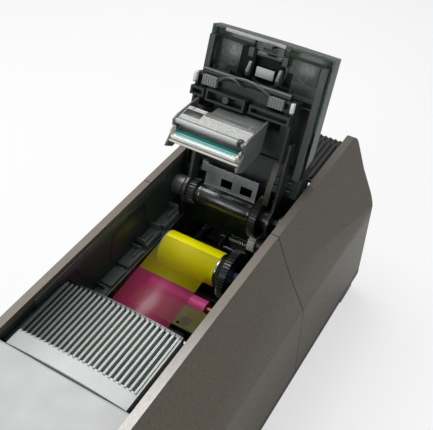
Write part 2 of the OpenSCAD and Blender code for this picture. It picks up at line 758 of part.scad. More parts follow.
module roller_sleeve(y) {
  difference() {
    bar_x(roller_r, roller_x0, roller_x1, y, axle_z);
    bar_x(axle_r, roller_x0 - 1, roller_x1 + 1, y, axle_z);
  }
}
module roller_axle(y, toward) {
  bar_x(axle_r, plate_left_x - plate_t + 0.1, roller_gear_x[1], y, axle_z);
  gear(roller_teeth, roller_gear_x, y, axle_z, toward);
}
module platen_roller() { color("#77606a") roller_sleeve(platen_y); }
module platen_axle() { color("#a4a6a8") roller_axle(platen_y, 180); }
module feed_roller() { color("#55585a") roller_sleeve(feed_y); }
module feed_axle() {
  idler_phase = mate(180, idler_teeth);
  nearest = idler_phase + round((180 - idler_phase) * idler_teeth / 360) * 360 / idler_teeth;
  shift = (180 - nearest) * idler_teeth / roller_teeth;
  color("#a4a6a8") roller_axle(feed_y, 180 / roller_teeth + shift);
}
module idler_gear() {
  color("#d8d6cf") {
    gear(idler_teeth, roller_gear_x, idler_y, axle_z, mate(180, idler_teeth));
    bar_x(idler_axle_r, plate_right_x + 0.1, roller_gear_x[1], idler_y, axle_z);
  }
}
module motor_pinion() {
  idler_phase = mate(180, idler_teeth);
  nearest = idler_phase + round((-90 - idler_phase) * idler_teeth / 360) * 360 / idler_teeth;
  shift = (-90 - nearest) * idler_teeth / pinion_teeth;
  color("#c8a24a") {
    gear(pinion_teeth, roller_gear_x, idler_y, pinion_z, 90 + 180 / pinion_teeth + shift);
    bar_x(pin_r, plate_right_x - 14, roller_gear_x[1], idler_y, pinion_z);
  }
}
module ribbon_idler() {
  color("#d8d6cf") {
    gear(ribbon_idler_teeth, ribbon_gear_x, ribbon_idler_y, ribbon_idler_z,
      mate(ribbon_idler_a, ribbon_idler_teeth));
    bar_x(idler_axle_r, ribbon_gear_x[0], plate_right_x + plate_t - 0.1,
      ribbon_idler_y, ribbon_idler_z);
  }
}
module ribbon_pinion() {
  color("#c8a24a") {
    gear(ribbon_pinion_teeth, ribbon_gear_x, takeup_y, ribbon_pinion_z,
      mate(-90, ribbon_pinion_teeth));
    bar_x(pin_r, ribbon_gear_x[0], 44, takeup_y, ribbon_pinion_z);
  }
}
module damper_pinion() {
  color("#d8d6cf") {
    gear(damper_teeth, hinge_gear_x, damper_y, damper_z, mate(damper_a, damper_teeth));
    bar_x(pin_r, hinge_gear_x[0], 45, damper_y, damper_z);
  }
}
module pick_roller() {
  color("#4a4d50") {
    bar_x(roller_r, head_x - 20, head_x + 20, pick_y, axle_z);
    bar_x(idler_axle_r, head_x - 25, head_x + 25, pick_y, axle_z);
  }
}

module lid_shell() {
  skirt_t = 1.8;
  color("#4a5248") opened() {
    along_y(lid_y0, lid_y1) difference() {
      crowned(lid_w / 2, lid_edge_z - lid_t, lid_z);
      translate([0, lid_z - lid_crown]) circle(lid_crown - lid_t, $fn = 180);
    }
    for (s = [0, 1]) mirror([s, 0, 0])
      block(lid_w / 2 - skirt_t, lid_w / 2, lid_y0, hinge_y - 20,
        lid_edge_z - lid_skirt, lid_edge_z - 1);
    along_y(lid_y0, lid_y0 + 2) crowned(lid_w / 2, lid_edge_z - lid_skirt, lid_z - 1);
  }
}

module lid_frame() {
  y0 = lid_y0 + 2.2;
  rail_w = 5.5;
  rail_h = 11;
  ear_x = 14.2;
  color("#b4b7b3") opened() {
    difference() {
      block(-frame_x, frame_x, y0, frame_y1, frame_z, frame_z + frame_t);
      translate([0, latch_y + 9, frame_z - 1]) cylinder(r = 17, h = frame_t + 2);
      block(-17, 17, y0 - 1, latch_y + 9, frame_z - 1, frame_z + frame_t + 1);
      block(-34, 26, platen_y - 23, platen_y + 9, frame_z - 1, frame_z + frame_t + 1);
    }
    for (s = [0, 1]) mirror([s, 0, 0]) difference() {
      block(frame_x - rail_w, frame_x, y0 + 6, hinge_y - 46, frame_z - rail_h, frame_z);
      block(frame_x - rail_w - 1, frame_x - 1.6, y0 + 8, hinge_y - 48,
        frame_z - rail_h + 1.6, frame_z + 0.1);
      for (y = [y0 + 14, y0 + 74])
        block(frame_x - 2, frame_x + 1, y, y + 16, frame_z - 8, frame_z - 3);
    }
    block(-frame_x + rail_w, frame_x - rail_w, y0 + 38, y0 + 40, frame_z - 5, frame_z);
    for (s = [0, 1]) mirror([s, 0, 0]) difference() {
      block(ear_x, ear_x + 5, latch_y - 4, latch_y + 4, latch_z - 4, frame_z + 1);
      bar_x(1.5 + run_fit, ear_x - 1, ear_x + 6, latch_y, latch_z);
    }
  }
}

module lid_arm(x, front_y) {
  z0 = hinge_z - 7.5;
  z1 = hinge_z + 4.5;
  difference() {
    union() {
      block(x, x + arm_t, front_y, hinge_y, z0, z1);
      for (y = [[hinge_y - 54, hinge_y - 46], [frame_y1 - 8, frame_y1]])
        block(x, x + arm_t, y[0], y[1], z1 - 1, frame_z);
      bar_x(eye_r, x, x + arm_t, hinge_y, hinge_z);
    }
    bar_x(hinge_r + run_fit, x - 1, x + arm_t + 1, hinge_y, hinge_z);
  }
}
module lid_arms() {
  color("#aeb0af") opened() {
    lid_arm(arm_left_x, carriage_y1);
    lid_arm(arm_right_x, platen_y - 6);
  }
}

barrel_x = [-33, 24];
module pivot_barrel() {
  x0 = barrel_x[0];
  x1 = barrel_x[1];
  plate_y = hinge_y - 31;
  plate_z = [hinge_z - 0.75, hinge_z + 0.75];
  color("#a7a9a6") opened() difference() {
    union() {
      bar_x(barrel_r, x0, x1, hinge_y, hinge_z);
      block(x0 + 1, x1 - 1, plate_y, hinge_y, plate_z[0], plate_z[1]);
      block(x0 - 5, x0 + 1, plate_y - 2, plate_y + 8, plate_z[0], plate_z[1]);
    }
    bar_x(hinge_r + 0.3, x0 - 1, x1 + 1, hinge_y, hinge_z);
    for (x = [x0 + 18, x0 + 39])
      block(x, x + 12, plate_y + 9, plate_y + 17, plate_z[0] - 1, plate_z[1] + 1);
  }
}
module hinge_gear() {
  color("#1b1c1d") opened() {
    gear(hinge_teeth, hinge_gear_x, hinge_y, hinge_z, damper_a + open_angle, hinge_r + 0.3);
    for (x = [[barrel_x[1], hinge_gear_x[0]], [hinge_gear_x[1], arm_right_x]]) difference() {
      bar_x(9, x[0], x[1], hinge_y, hinge_z);
      bar_x(hinge_r + 0.3, x[0] - 1, x[1] + 1, hinge_y, hinge_z);
    }
  }
}
module toothed_ring() {
  x = [arm_left_x + arm_t, -36];
  color("#222425") opened() {
    gear(24, x, hinge_y, hinge_z, 0, hinge_r + 0.3);
    difference() {
      bar_x(8, x[1], barrel_x[0], hinge_y, hinge_z);
      bar_x(hinge_r + 0.3, x[1] - 1, barrel_x[0] + 1, hinge_y, hinge_z);
    }
  }
}

post_x = [head_x - 23, head_x + 23];
module carriage_frame() {
  x0 = carriage_x0;
  x1 = carriage_x1;
  y0 = carriage_y0;
  y1 = carriage_y1;
  z0 = carriage_z;
  z1 = carriage_z + carriage_t;
  color("#191b1c") opened() {
    difference() {
      block(x0, x1, y0, y1, z0 - carriage_rim, z1);
      block(x0 + 2.5, x1 - 2.5, y0 + 2.5, y1 - 2.5, z0 - carriage_rim - 1, z0);
      for (x = post_x) bar_z(post_r + run_fit, x, post_y, z0 - 1, z1 + 1);
      block(head_x - 12, head_x + 12, platen_y - 19, platen_y - 7, z0 - 1, z1 + 1);
      for (x = [head_x - 37, head_x + 30])
        block(x, x + 16, platen_y - 33, platen_y - 14, z0 - 1, z1 + 1);
      for (x = [head_x - 34, head_x + 24])
        block(x, x + 10, platen_y - 1, platen_y + 7, z0 - 1, z1 + 1);
    }
    for (x = [x0 + 5, x1 - 9], y = [y0 + 2, y1 - 14])
      block(x, x + 8, y, y + 8, z1 - 1, frame_z);
    along_x(x0 + 6, x1 - 6) translate([y0 - 2.5, z0 - 1]) circle(3.5);
    difference() {
      block(head_x - 26, head_x + 13, y0 + 10, y0 + 21, z0 - 12, z0);
      block(head_x - 24, head_x + 11, y0 + 12, y0 + 19, z0 - 13, z0 - 2);
    }
    translate([head_x - 6, y0 + 15.5, z0 - 11]) cylinder(r = 3.2, h = 9.5);
    for (x = [[x0, head_x - 29], [head_x + 17, x1]]) difference() {
      block(x[0], x[1], y0 + 12, y0 + 20, z0 - 10, z0);
      block(x[0] + 2, x[1] - 2, y0 + 14, y0 + 18, z0 - 11, z0 - 2);
    }
  }
}

module carriage_trim() {
  y = carriage_y0 + 4;
  rim_z = carriage_z - carriage_rim;
  tab_t = 2.4;
  color("#8e918f") opened() {
    for (x = [head_x - 27, head_x + 39]) difference() {
      block(x - 7, x + 7, y - 4, y + 5, rim_z - 4.5, rim_z);
      for (i = [0:4]) block(x - 6 + i * 2.6, x - 5 + i * 2.6, y - 5, y + 6,
        rim_z - 5, rim_z - 3.9);
    }
    for (x = [carriage_x0, carriage_x1 - tab_t])
      block(x, x + tab_t, y - 4, y + 5, rim_z - 5, rim_z);
  }
}

module latch() {
  reach = latch_y - lid_y0 - 2.8;
  color("#c3c5c3") opened() {
    bar_x(1.5, -17, 17, latch_y, latch_z);
    bar_x(3, -13, 13, latch_y, latch_z);
    difference() {
      block(-13, 13, latch_y - reach, latch_y, latch_z - 1.2, latch_z + 1.2);
      block(-7, 7, latch_y - reach + 3, latch_y - 4, latch_z - 2, latch_z + 2);
    }
    block(-5, 5, latch_y - reach, latch_y - reach + 2.5, latch_z - 12, latch_z);
  }
}

module heat_sink() {
  step = head_d + 0.2;
  color("#b9bab6") opened() {
    along_x(head_x0, head_x1) polygon([on_head(2, -ceramic_t), on_head(step, -ceramic_t),
      on_head(step, cast_z - 4), on_head(cast_y, cast_z - 3.5), on_head(cast_y, cast_z),
      on_head(cast_y + cast_d, cast_z), [post_y - 6, head_top], [post_y + 4, head_top],
      on_head(22, -5.5), on_head(10, -7), on_head(2, -7)]);
    along_x(head_x - 11, head_x + 35) polygon([on_head(cast_y + cast_d - 1, cast_z),
      on_head(50, 8), on_head(50, 6.5), on_head(cast_y + cast_d - 1, cast_z - 2)]);
  }
}
module ceramic_head() {
  color("#e9e7df") opened() {
    along_x(head_x - head_w / 2, head_x + head_w / 2) polygon([on_head(0, 0),
      on_head(head_d, 0), on_head(head_d, -ceramic_t), on_head(0, -ceramic_t)]);
    along_x(head_x - head_w / 2 + 2, head_x + head_w / 2 - 2) polygon([on_head(1, -0.1),
      on_head(1.6, 0.4), on_head(4.4, 0.4), on_head(5, -0.1)]);
  }
}
module head_fittings() {
  rod = on_head(cast_y - rod_r - 0.2, cast_z - 2);
  wire = on_head(-0.2, -5);
  color("#a5a7a4") opened() {
    for (x = [head_x0 - cheek_t, head_x1]) along_x(x, x + cheek_t)
      polygon([on_head(-6, -8), on_head(4, -15), on_head(38, -15), on_head(50, cast_z),
        on_head(15, cast_z + 1.5), on_head(8, cast_z + 0.5), on_head(7, 2)]);
    bar_x(rod_r, head_x0, head_x1, rod[0], rod[1]);
    bar_x(wire_r, head_x0, head_x1, wire[0], wire[1]);
    for (x = post_x) bar_z(post_r, x, post_y, head_top,
      carriage_z + carriage_t + 4 + head_travel);
  }
}

module hopper_cover() {
  y0 = -half_l;
  edge = 5;
  color("#cccecb") {
    difference() {
      intersection() {
        block(-cover_x, cover_x, y0, cover_hinge_y, cover_z - cover_drop, cover_z);
        along_x(-cover_x, cover_x) round_rect(y0, y0 + 200, cover_z - 200, cover_z, edge);
      }
      intersection() {
        block(-cover_x + cover_t, cover_x - cover_t, y0 + cover_t, cover_hinge_y + 1,
          cover_z - cover_drop - 1, cover_z - cover_t);
        along_x(-cover_x, cover_x)
          round_rect(y0 + cover_t, y0 + 200, cover_z - 200, cover_z - cover_t, edge - cover_t);
      }
      block(-cover_x - 1, cover_x + 1, y0 + cover_t, cover_hinge_y + 1,
        cover_z - cover_drop - 1, cover_z - 14);
      block(-cover_x - 1, cover_x + 1, cover_hinge_y - 8, cover_hinge_y + 1,
        cover_z - 15, cover_z - cover_t);
    }
    bar_x(cover_t, -cover_x, cover_x, cover_hinge_y, cover_hinge_z);
    bar_x(1.5, -cover_x - 3.2, cover_x + 3.2, cover_hinge_y, cover_hinge_z);
  }
}

module output_tray() {
  y0 = -half_l;
  x0 = head_x - tray_w / 2;
  x1 = head_x + tray_w / 2;
  t = 2;
  color("#c7c9c5") {
    difference() {
      block(x0, x1, y0, y0 + tray_d, tray_z, tray_z + 30);
      block(x0 + t, x1 - t, y0 + 2 * t, y0 + tray_d - t, tray_z + t, tray_z + 31);
    }
    difference() {
      block(x0, x1, y0, y0 + 2 * t, tray_z, tray_z + tray_face_h);
      translate([head_x, y0 - 1, tray_z + tray_face_h]) rotate([-90, 0, 0])
        cylinder(r = 14, h = 2 * t + 2);
    }
  }
}

module power_button() {
  y0 = -half_l;
  color("#8fa6b5") {
    translate([button_x, y0, button_z]) rotate([-90, 0, 0]) cylinder(r = button_r, h = 5.5);
    translate([button_x, y0 + face_t + 0.2, button_z]) rotate([-90, 0, 0])
      cylinder(r = button_r + 1.5, h = 1.5);
    translate([button_x, y0 + face_t + 1, button_z]) rotate([-90, 0, 0]) cylinder(r = 2.5, h = 5.5);
  }
}

base_tray();
rubber_feet();
side_panel_left_front();
side_panel_left_rear();
side_panel_right_front();
side_panel_right_rear();
wall_liners();
ledges();
chassis_plate_left();
chassis_plate_right();
front_bridge();
ribbed_cover();
rear_vent_cover();
rear_panel();
power_inlet();
data_ports();
front_bezel();
card_hopper();
card_strips();
cross_bars();
spring_bracket();
rod_springs();
toothed_rack();
drive_motors();
rotary_damper();
hinge_shaft();
pivot_caps();
main_board();
power_supply();
ribbon_film();
supply_film_roll();
supply_core();
supply_gear();
takeup_spool();
takeup_gear();
platen_roller();
platen_axle();
feed_roller();
feed_axle();
idler_gear();
motor_pinion();
ribbon_idler();
ribbon_pinion();
damper_pinion();
pick_roller();
lid_shell();
lid_frame();
lid_arms();
pivot_barrel();
hinge_gear();
toothed_ring();
carriage_frame();
carriage_trim();
latch();
heat_sink();
ceramic_head();
head_fittings();
hopper_cover();
output_tray();
power_button();
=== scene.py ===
# %% [markdown]
# # An id card printer with its lid open
# The real machine is a long desk-top printer for plastic cards. Its lid carries the print
# head and stands open over the colour ribbon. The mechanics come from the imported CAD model,
# so this notebook only dresses them: finishes, small parts, light and camera.
# Everything is in metres, in the CAD model's own frame, so a piece goes where the CAD says.

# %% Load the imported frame
import json
import math

import bmesh
import bpy
from mathutils import Matrix, Vector

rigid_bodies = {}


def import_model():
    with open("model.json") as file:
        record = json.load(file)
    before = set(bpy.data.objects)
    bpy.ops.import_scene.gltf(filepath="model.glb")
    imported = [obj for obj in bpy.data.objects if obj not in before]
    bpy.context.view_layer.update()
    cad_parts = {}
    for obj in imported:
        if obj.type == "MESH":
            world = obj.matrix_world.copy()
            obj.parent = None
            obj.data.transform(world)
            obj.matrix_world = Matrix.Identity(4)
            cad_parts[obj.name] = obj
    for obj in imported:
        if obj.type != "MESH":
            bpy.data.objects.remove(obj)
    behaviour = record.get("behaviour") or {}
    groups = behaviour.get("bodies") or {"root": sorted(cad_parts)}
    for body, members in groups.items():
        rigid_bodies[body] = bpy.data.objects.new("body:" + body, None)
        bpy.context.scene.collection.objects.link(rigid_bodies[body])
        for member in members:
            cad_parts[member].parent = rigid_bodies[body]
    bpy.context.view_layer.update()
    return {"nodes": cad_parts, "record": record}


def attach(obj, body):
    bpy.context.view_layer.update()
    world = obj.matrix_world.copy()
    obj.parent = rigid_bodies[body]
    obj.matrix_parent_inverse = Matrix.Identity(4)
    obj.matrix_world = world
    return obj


for leftover in list(bpy.data.objects):
    bpy.data.objects.remove(leftover)
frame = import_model()
nodes = frame["nodes"]
scene = bpy.context.scene
scene.view_settings.view_transform = "Standard"

# %% [markdown]
# ## Places taken from the CAD model
# The lid was drawn closed and then turned open about its hinge. Pieces that ride on the lid
# are easiest to model the same way: in the closed position, then turned by the same matrix.

# %% Hinge, units and the lid's opening
MM = 0.001
HINGE = Vector((0, 88, 181.5)) * MM
OPEN_ANGLE = math.radians(112)
TO_OPEN = (Matrix.Translation(HINGE) @ Matrix.Rotation(-OPEN_ANGLE, 4, "X")
           @ Matrix.Translation(-HINGE))


def turned_open(x, y, z):
    """A closed-lid point, in millimetres, as it stands with the lid open, in metres."""
    return TO_OPEN @ (Vector((x, y, z)) * MM)


print("the lid's free edge stands at", [round(c * 1000) for c in turned_open(0, -68.7, 206.5)])

# %% [markdown]
# ## Camera
# The camera was solved from the three sets of parallel edges in the photograph. Its three
# axes are given here as plain directions, which is the least ambiguous way to write a turn
# that includes a slight roll.

# %% The camera at the photograph's place
cam_right = Vector((0.8569, 0.5151, 0.0142))
cam_up = Vector((-0.3624, 0.5827, 0.7275))
cam_back = Vector((0.3665, -0.6286, 0.6860))
cam_place = Vector((0.2400, -0.3500, 0.6386))
FOCAL_PX, FRAME_PX, SENSOR_MM = 712, 433, 36
cam_data = bpy.data.cameras.new("camera")
cam_data.sensor_fit = "HORIZONTAL"
cam_data.sensor_width = SENSOR_MM
cam_data.lens = SENSOR_MM * FOCAL_PX / FRAME_PX
cam_data.clip_start = 0.01
camera = bpy.data.objects.new("camera", cam_data)
scene.collection.objects.link(camera)
camera.matrix_world = Matrix((
    (cam_right.x, cam_up.x, cam_back.x, cam_place.x),
    (cam_right.y, cam_up.y, cam_back.y, cam_place.y),
    (cam_right.z, cam_up.z, cam_back.z, cam_place.z),
    (0, 0, 0, 1)))
scene.camera = camera
print("lens in mm:", round(cam_data.lens, 1))

# %% [markdown]
# ## Light
# A product photograph like this has one large softbox above, weaker ones from the side and the
# front, and a white surround. Area lamps give the soft shadows, and the world gives the fill.
# Mirrors see only a part of the white surround, so dark gloss stays dark.

# %% Lamps and the world
FILL_STRENGTH, MIRRORED_SHARE = 0.32, 0.2


def softbox(name, place, aim, size, power):
    """A rectangular area lamp that points at a place, in metres and watts."""
    lamp = bpy.data.lights.new(name, "AREA")
    lamp.shape = "RECTANGLE"
    lamp.size, lamp.size_y = size
    lamp.energy = power
    holder = bpy.data.objects.new(name, lamp)
    scene.collection.objects.link(holder)
    holder.location = place
    holder.rotation_mode = "QUATERNION"
    holder.rotation_quaternion = (Vector(aim) - Vector(place)).to_track_quat("-Z", "Y")


def maths(t, operation, *values, clamp=False):
    """A Math node. Each value is a plain number or the output of another node."""
    made = t.nodes.new("ShaderNodeMath")
    made.operation = operation
    made.use_clamp = clamp
    for socket, value in zip(made.inputs, values):
        if isinstance(value, bpy.types.NodeSocket):
            t.links.new(value, socket)
        else:
            socket.default_value = value
    return made.outputs[0]


def plain_background(t, colour, strength):
    """A Background node of one colour."""
    made = t.nodes.new("ShaderNodeBackground")
    made.inputs["Color"].default_value = (*colour, 1)
    made.inputs["Strength"].default_value = strength
    return made.outputs[0]


softbox("overhead_softbox", (-0.45, 0.25, 1.35), (0, 0, 0.15), (1.1, 0.9), 16.5)
softbox("side_softbox", (1.5, -0.9, 0.75), (0, 0, 0.15), (0.9, 0.9), 9.5)
softbox("front_softbox", (-0.5, -1.5, 0.9), (0, 0, 0.2), (0.9, 0.7), 6)

world = bpy.data.worlds.new("white_surround")
scene.world = world
world.use_nodes = True
tree = world.node_tree
tree.nodes.clear()
paths = tree.nodes.new("ShaderNodeLightPath")
seen = maths(tree, "ADD", paths.outputs["Is Camera Ray"], paths.outputs["Is Transmission Ray"],
             clamp=True)
white_share = maths(tree, "MULTIPLY_ADD", paths.outputs["Is Glossy Ray"], MIRRORED_SHARE, seen,
                    clamp=True)
pick = tree.nodes.new("ShaderNodeMixShader")
tree.links.new(white_share, pick.inputs["Fac"])
tree.links.new(plain_background(tree, (0.95, 0.97, 1.0), FILL_STRENGTH), pick.inputs[1])
tree.links.new(plain_background(tree, (1, 1, 1), 1.0), pick.inputs[2])
surround_out = tree.nodes.new("ShaderNodeOutputWorld")
tree.links.new(pick.outputs[0], surround_out.inputs["Surface"])

# %% [markdown]
# ## Finishes
# Moulded plastic, satin paint and drawn steel look real through small things: a fine grain
# in the surface, patches that are a little shinier, and a colour that drifts slightly. One
# helper wires those three from noise on Object coordinates, and each finish names its own
# strengths. Values that are the same all over go straight onto the shader.

# %% A helper for a surface with grain
GRAIN_SHARE, GRAIN_DEPTH = 0.45, 0.2 * MM


def ranged(t, source, start, end, low=0.0, high=1.0):
    """A Map Range node, which carries a value from one range to another."""
    made = t.nodes.new("ShaderNodeMapRange")
    for socket, value in zip(("From Min", "From Max", "To Min", "To Max"),
                             (start, end, low, high)):
        made.inputs[socket].default_value = value
    t.links.new(source, made.inputs["Value"])
    return made.outputs["Result"]


def two_colours(t, source, first, second, start=0.0, end=1.0):
    """A Color Ramp between two colours."""
    made = t.nodes.new("ShaderNodeValToRGB")
    for element, place, colour in zip(made.color_ramp.elements, (start, end), (first, second)):
        element.position = place
        element.color = (*colour, 1)
    t.links.new(source, made.inputs["Fac"])
    return made.outputs["Color"]


def object_place(t, output="Object"):
    """The separate X, Y and Z of a texture coordinate."""
    where = t.nodes.new("ShaderNodeTexCoord")
    split = t.nodes.new("ShaderNodeSeparateXYZ")
    t.links.new(where.outputs[output], split.inputs[0])
    return split.outputs


def surface(name, colour, other, rough, grain=900, bump=0.12, drift=14, patch=60,
            rough_spread=0.08, stretch=(1, 1, 1), **fixed):
    """A material whose colour, gloss and relief vary a little with noise."""
    mat = bpy.data.materials.new(name)
    mat.use_nodes = True
    t = mat.node_tree
    shader = t.nodes["Principled BSDF"]
    where = t.nodes.new("ShaderNodeTexCoord")
    turn = t.nodes.new("ShaderNodeMapping")
    turn.inputs["Scale"].default_value = stretch
    t.links.new(where.outputs["Object"], turn.inputs["Vector"])

    def noise(scale, detail=3.0):
        n = t.nodes.new("ShaderNodeTexNoise")
        n.inputs["Scale"].default_value = scale
        n.inputs["Detail"].default_value = detail
        t.links.new(turn.outputs["Vector"], n.inputs["Vector"])
        return n

    fine, broad, middle = noise(grain), noise(drift), noise(patch)
    mixed = t.nodes.new("ShaderNodeMix")
    mixed.inputs[0].default_value = GRAIN_SHARE
    t.links.new(broad.outputs["Fac"], mixed.inputs[2])
    t.links.new(fine.outputs["Fac"], mixed.inputs[3])
    t.links.new(two_colours(t, mixed.outputs[0], colour, other, 0.35, 0.68),
                shader.inputs["Base Color"])
    t.links.new(ranged(t, middle.outputs["Fac"], 0.3, 0.7, max(0.02, rough - rough_spread),
                       min(1.0, rough + rough_spread)), shader.inputs["Roughness"])
    relief = t.nodes.new("ShaderNodeBump")
    relief.inputs["Strength"].default_value = bump
    relief.inputs["Distance"].default_value = GRAIN_DEPTH
    t.links.new(fine.outputs["Fac"], relief.inputs["Height"])
    t.links.new(relief.outputs["Normal"], shader.inputs["Normal"])
    for socket, value in fixed.items():
        shader.inputs[socket.replace("_", " ")].default_value = value
    return mat


print("grain is this deep, in mm:", round(GRAIN_DEPTH / MM, 2))

# %% [markdown]
# ## The printer's own finishes
# One finish for each material slot of the CAD model. The side panels are bronze paint with a
# metal fleck, the chassis is dark zinc sheet, the covers are moulded plastic from black to
# light grey, the lid's shell is smoky clear plastic, and the head is a blasted casting with a
# glazed ceramic strip. Brushed metals get their grain stretched along one axis.

# %% The finishes of this printer
finish = {
    "dark_plastic": surface("black_moulded_plastic", (0.010, 0.012, 0.012),
                            (0.020, 0.023, 0.022), 0.38, grain=1500, bump=0.25),
    "rubber": surface("matt_rubber", (0.018, 0.018, 0.019), (0.035, 0.035, 0.036), 0.72,
                      grain=1100, bump=0.3),
    "bronze_paint": surface("bronze_fleck_paint", (0.054, 0.046, 0.034),
                            (0.150, 0.130, 0.100), 0.42, grain=1000, bump=0.25, drift=1300,
                            patch=700, Metallic=0.4, Specular_IOR_Level=0.3),
    "grey_plastic": surface("grey_moulded_plastic", (0.030, 0.034, 0.033),
                            (0.048, 0.054, 0.052), 0.34, grain=1300, bump=0.15),
    "steel_sheet": surface("dark_zinc_sheet", (0.070, 0.074, 0.074), (0.115, 0.12, 0.12), 0.36,
                           grain=260, bump=0.08, stretch=(1, 0.06, 1), Metallic=1.0),
    "light_plastic": surface("light_grey_plastic", (0.37, 0.38, 0.37), (0.43, 0.44, 0.43),
                             0.42, grain=1500, bump=0.12),
    "gloss_black": surface("glossy_black_plastic", (0.008, 0.009, 0.010), (0.016, 0.018, 0.018),
                           0.14, grain=700, bump=0.03, Coat_Weight=0.5, Coat_Roughness=0.06),
    "spring_steel": surface("bright_drawn_steel", (0.50, 0.50, 0.48), (0.66, 0.66, 0.64), 0.22,
                            grain=420, bump=0.05, stretch=(0.08, 1, 1), Metallic=1.0),
    "gear_black": surface("black_acetal", (0.012, 0.013, 0.013), (0.024, 0.026, 0.026), 0.30,
                          grain=900, bump=0.08),
    "motor_steel": surface("dull_plated_steel", (0.17, 0.175, 0.18), (0.27, 0.275, 0.28), 0.40,
                           grain=420, bump=0.1, stretch=(0.15, 1, 1), Metallic=1.0),
    "grey_metal": surface("satin_grey_metal", (0.26, 0.27, 0.265), (0.38, 0.39, 0.385), 0.30,
                          grain=800, bump=0.08, Metallic=0.85),
    "board_green": surface("green_circuit_board", (0.012, 0.07, 0.03), (0.02, 0.11, 0.045),
                           0.25, grain=500, bump=0.1, Coat_Weight=0.4, Coat_Roughness=0.1),
    "ribbon_roll": surface("wound_yellow_film", (1.0, 0.90, 0.0), (1.0, 0.96, 0.0), 0.42,
                           grain=900, bump=0.08, stretch=(0.08, 1, 1),
                           Specular_IOR_Level=0.2),
    "core_blue": surface("pale_blue_core", (0.10, 0.19, 0.42), (0.16, 0.27, 0.52), 0.3,
                         grain=900, bump=0.05),
    "gear_white": surface("natural_acetal", (0.52, 0.51, 0.46), (0.64, 0.63, 0.58), 0.36,
                          grain=900, bump=0.08),
    "gear_brass": surface("machined_brass", (0.46, 0.32, 0.12), (0.62, 0.46, 0.20), 0.26,
                          grain=600, bump=0.06, Metallic=1.0),
    "cast_metal": surface("blasted_cast_metal", (0.30, 0.305, 0.29), (0.50, 0.505, 0.48), 0.55,
                          grain=620, bump=0.6, drift=500, Metallic=0.15),
    "ceramic": surface("glazed_white_ceramic", (0.66, 0.66, 0.60), (0.76, 0.76, 0.70), 0.14,
                       grain=500, bump=0.02, Coat_Weight=0.6, Coat_Roughness=0.05),
    "button_plastic": surface("blue_grey_button", (0.20, 0.30, 0.36), (0.28, 0.38, 0.44), 0.22,
                              grain=500, bump=0.02, Coat_Weight=0.5, Coat_Roughness=0.08),
    "smoke_plastic": surface("smoky_clear_plastic", (0.050, 0.082, 0.056), (0.068, 0.105, 0.074),
                             0.09, grain=300, bump=0.01, rough_spread=0.02,
                             Transmission_Weight=0.85, IOR=1.3, Specular_IOR_Level=0.2),
}
slot_of = {s["node"]: s["material_slot"] for s in frame["record"]["subparts"]}
print("finishes:", len(finish))

# %% [markdown]
# ## Finishes with zones
# Some parts change along their length. The ribbon is one clear film dyed in panels, so its
# colour steps from yellow to magenta at the panel's edge. The front cover is light and plain
# at its front. Over the ribs it is duller and its colour is painted darker, as painted shade
# for the gaps between the ribs, darkest at the left and brighter towards the right. Each rib
# carries a thin dark line of painted shade where it is grooved, and its rear edge is black.
# The bronze sides get a painted highlight: faces that look straight up are paler, most of all
# at the right front corner. Zones come from Object coordinates, which are the CAD's own
# millimetres, and the top strip from the normal.

# %% Dyed film, painted highlight strip and painted shade on the ribbed cover
PANEL_EDGE_Y, PANEL_EDGE_WIDTH = -3.5, 0.4
RIBS_FRONT_Y, RIBS_REAR_Y, RIBS_EDGE_WIDTH, RIB_PITCH = -137.5, -82.2, 0.6, 4.6
UPWARD = (0.93, 0.99)


def zone(mat, axis, at, width, below, above, socket="Base Color"):
    """Steps a socket of the shader from one colour to another at a place along an axis."""
    t = mat.node_tree
    edge = ranged(t, object_place(t)[axis], (at - width / 2) * MM, (at + width / 2) * MM)
    colour = two_colours(t, edge, below, above)
    shader = t.nodes["Principled BSDF"]
    if not shader.inputs[socket].is_linked:
        t.links.new(colour, shader.inputs[socket])
        return mat
    mix = t.nodes.new("ShaderNodeMix")
    mix.data_type = "RGBA"
    mix.blend_type = "MULTIPLY"
    mix.inputs["Factor"].default_value = 1.0
    t.links.new(shader.inputs[socket].links[0].from_socket, mix.inputs["A"])
    t.links.new(colour, mix.inputs["B"])
    t.links.new(mix.outputs["Result"], shader.inputs[socket])
    return mat


def paint_top_highlight(mat, front, rear):
    """Paints a highlight on faces that look straight up, palest at the right front corner."""
    t = mat.node_tree
    shader = t.nodes["Principled BSDF"]
    place = object_place(t)
    along = maths(t, "SUBTRACT", place["Y"], place["X"])
    mix = t.nodes.new("ShaderNodeMix")
    mix.data_type = "RGBA"
    t.links.new(ranged(t, object_place(t, "Normal")["Z"], *UPWARD), mix.inputs["Factor"])
    t.links.new(shader.inputs["Base Color"].links[0].from_socket, mix.inputs["A"])
    t.links.new(two_colours(t, ranged(t, along, -215 * MM, -120 * MM), front, rear),
                mix.inputs["B"])
    t.links.new(mix.outputs["Result"], shader.inputs["Base Color"])


def only_behind(t, behind, ahead, value):
    """The value where the place is behind the line, and a plain number ahead of it."""
    mix = t.nodes.new("ShaderNodeMix")
    mix.inputs["A"].default_value = ahead
    t.links.new(behind, mix.inputs["Factor"])
    t.links.new(value, mix.inputs["B"])
    return mix.outputs["Result"]


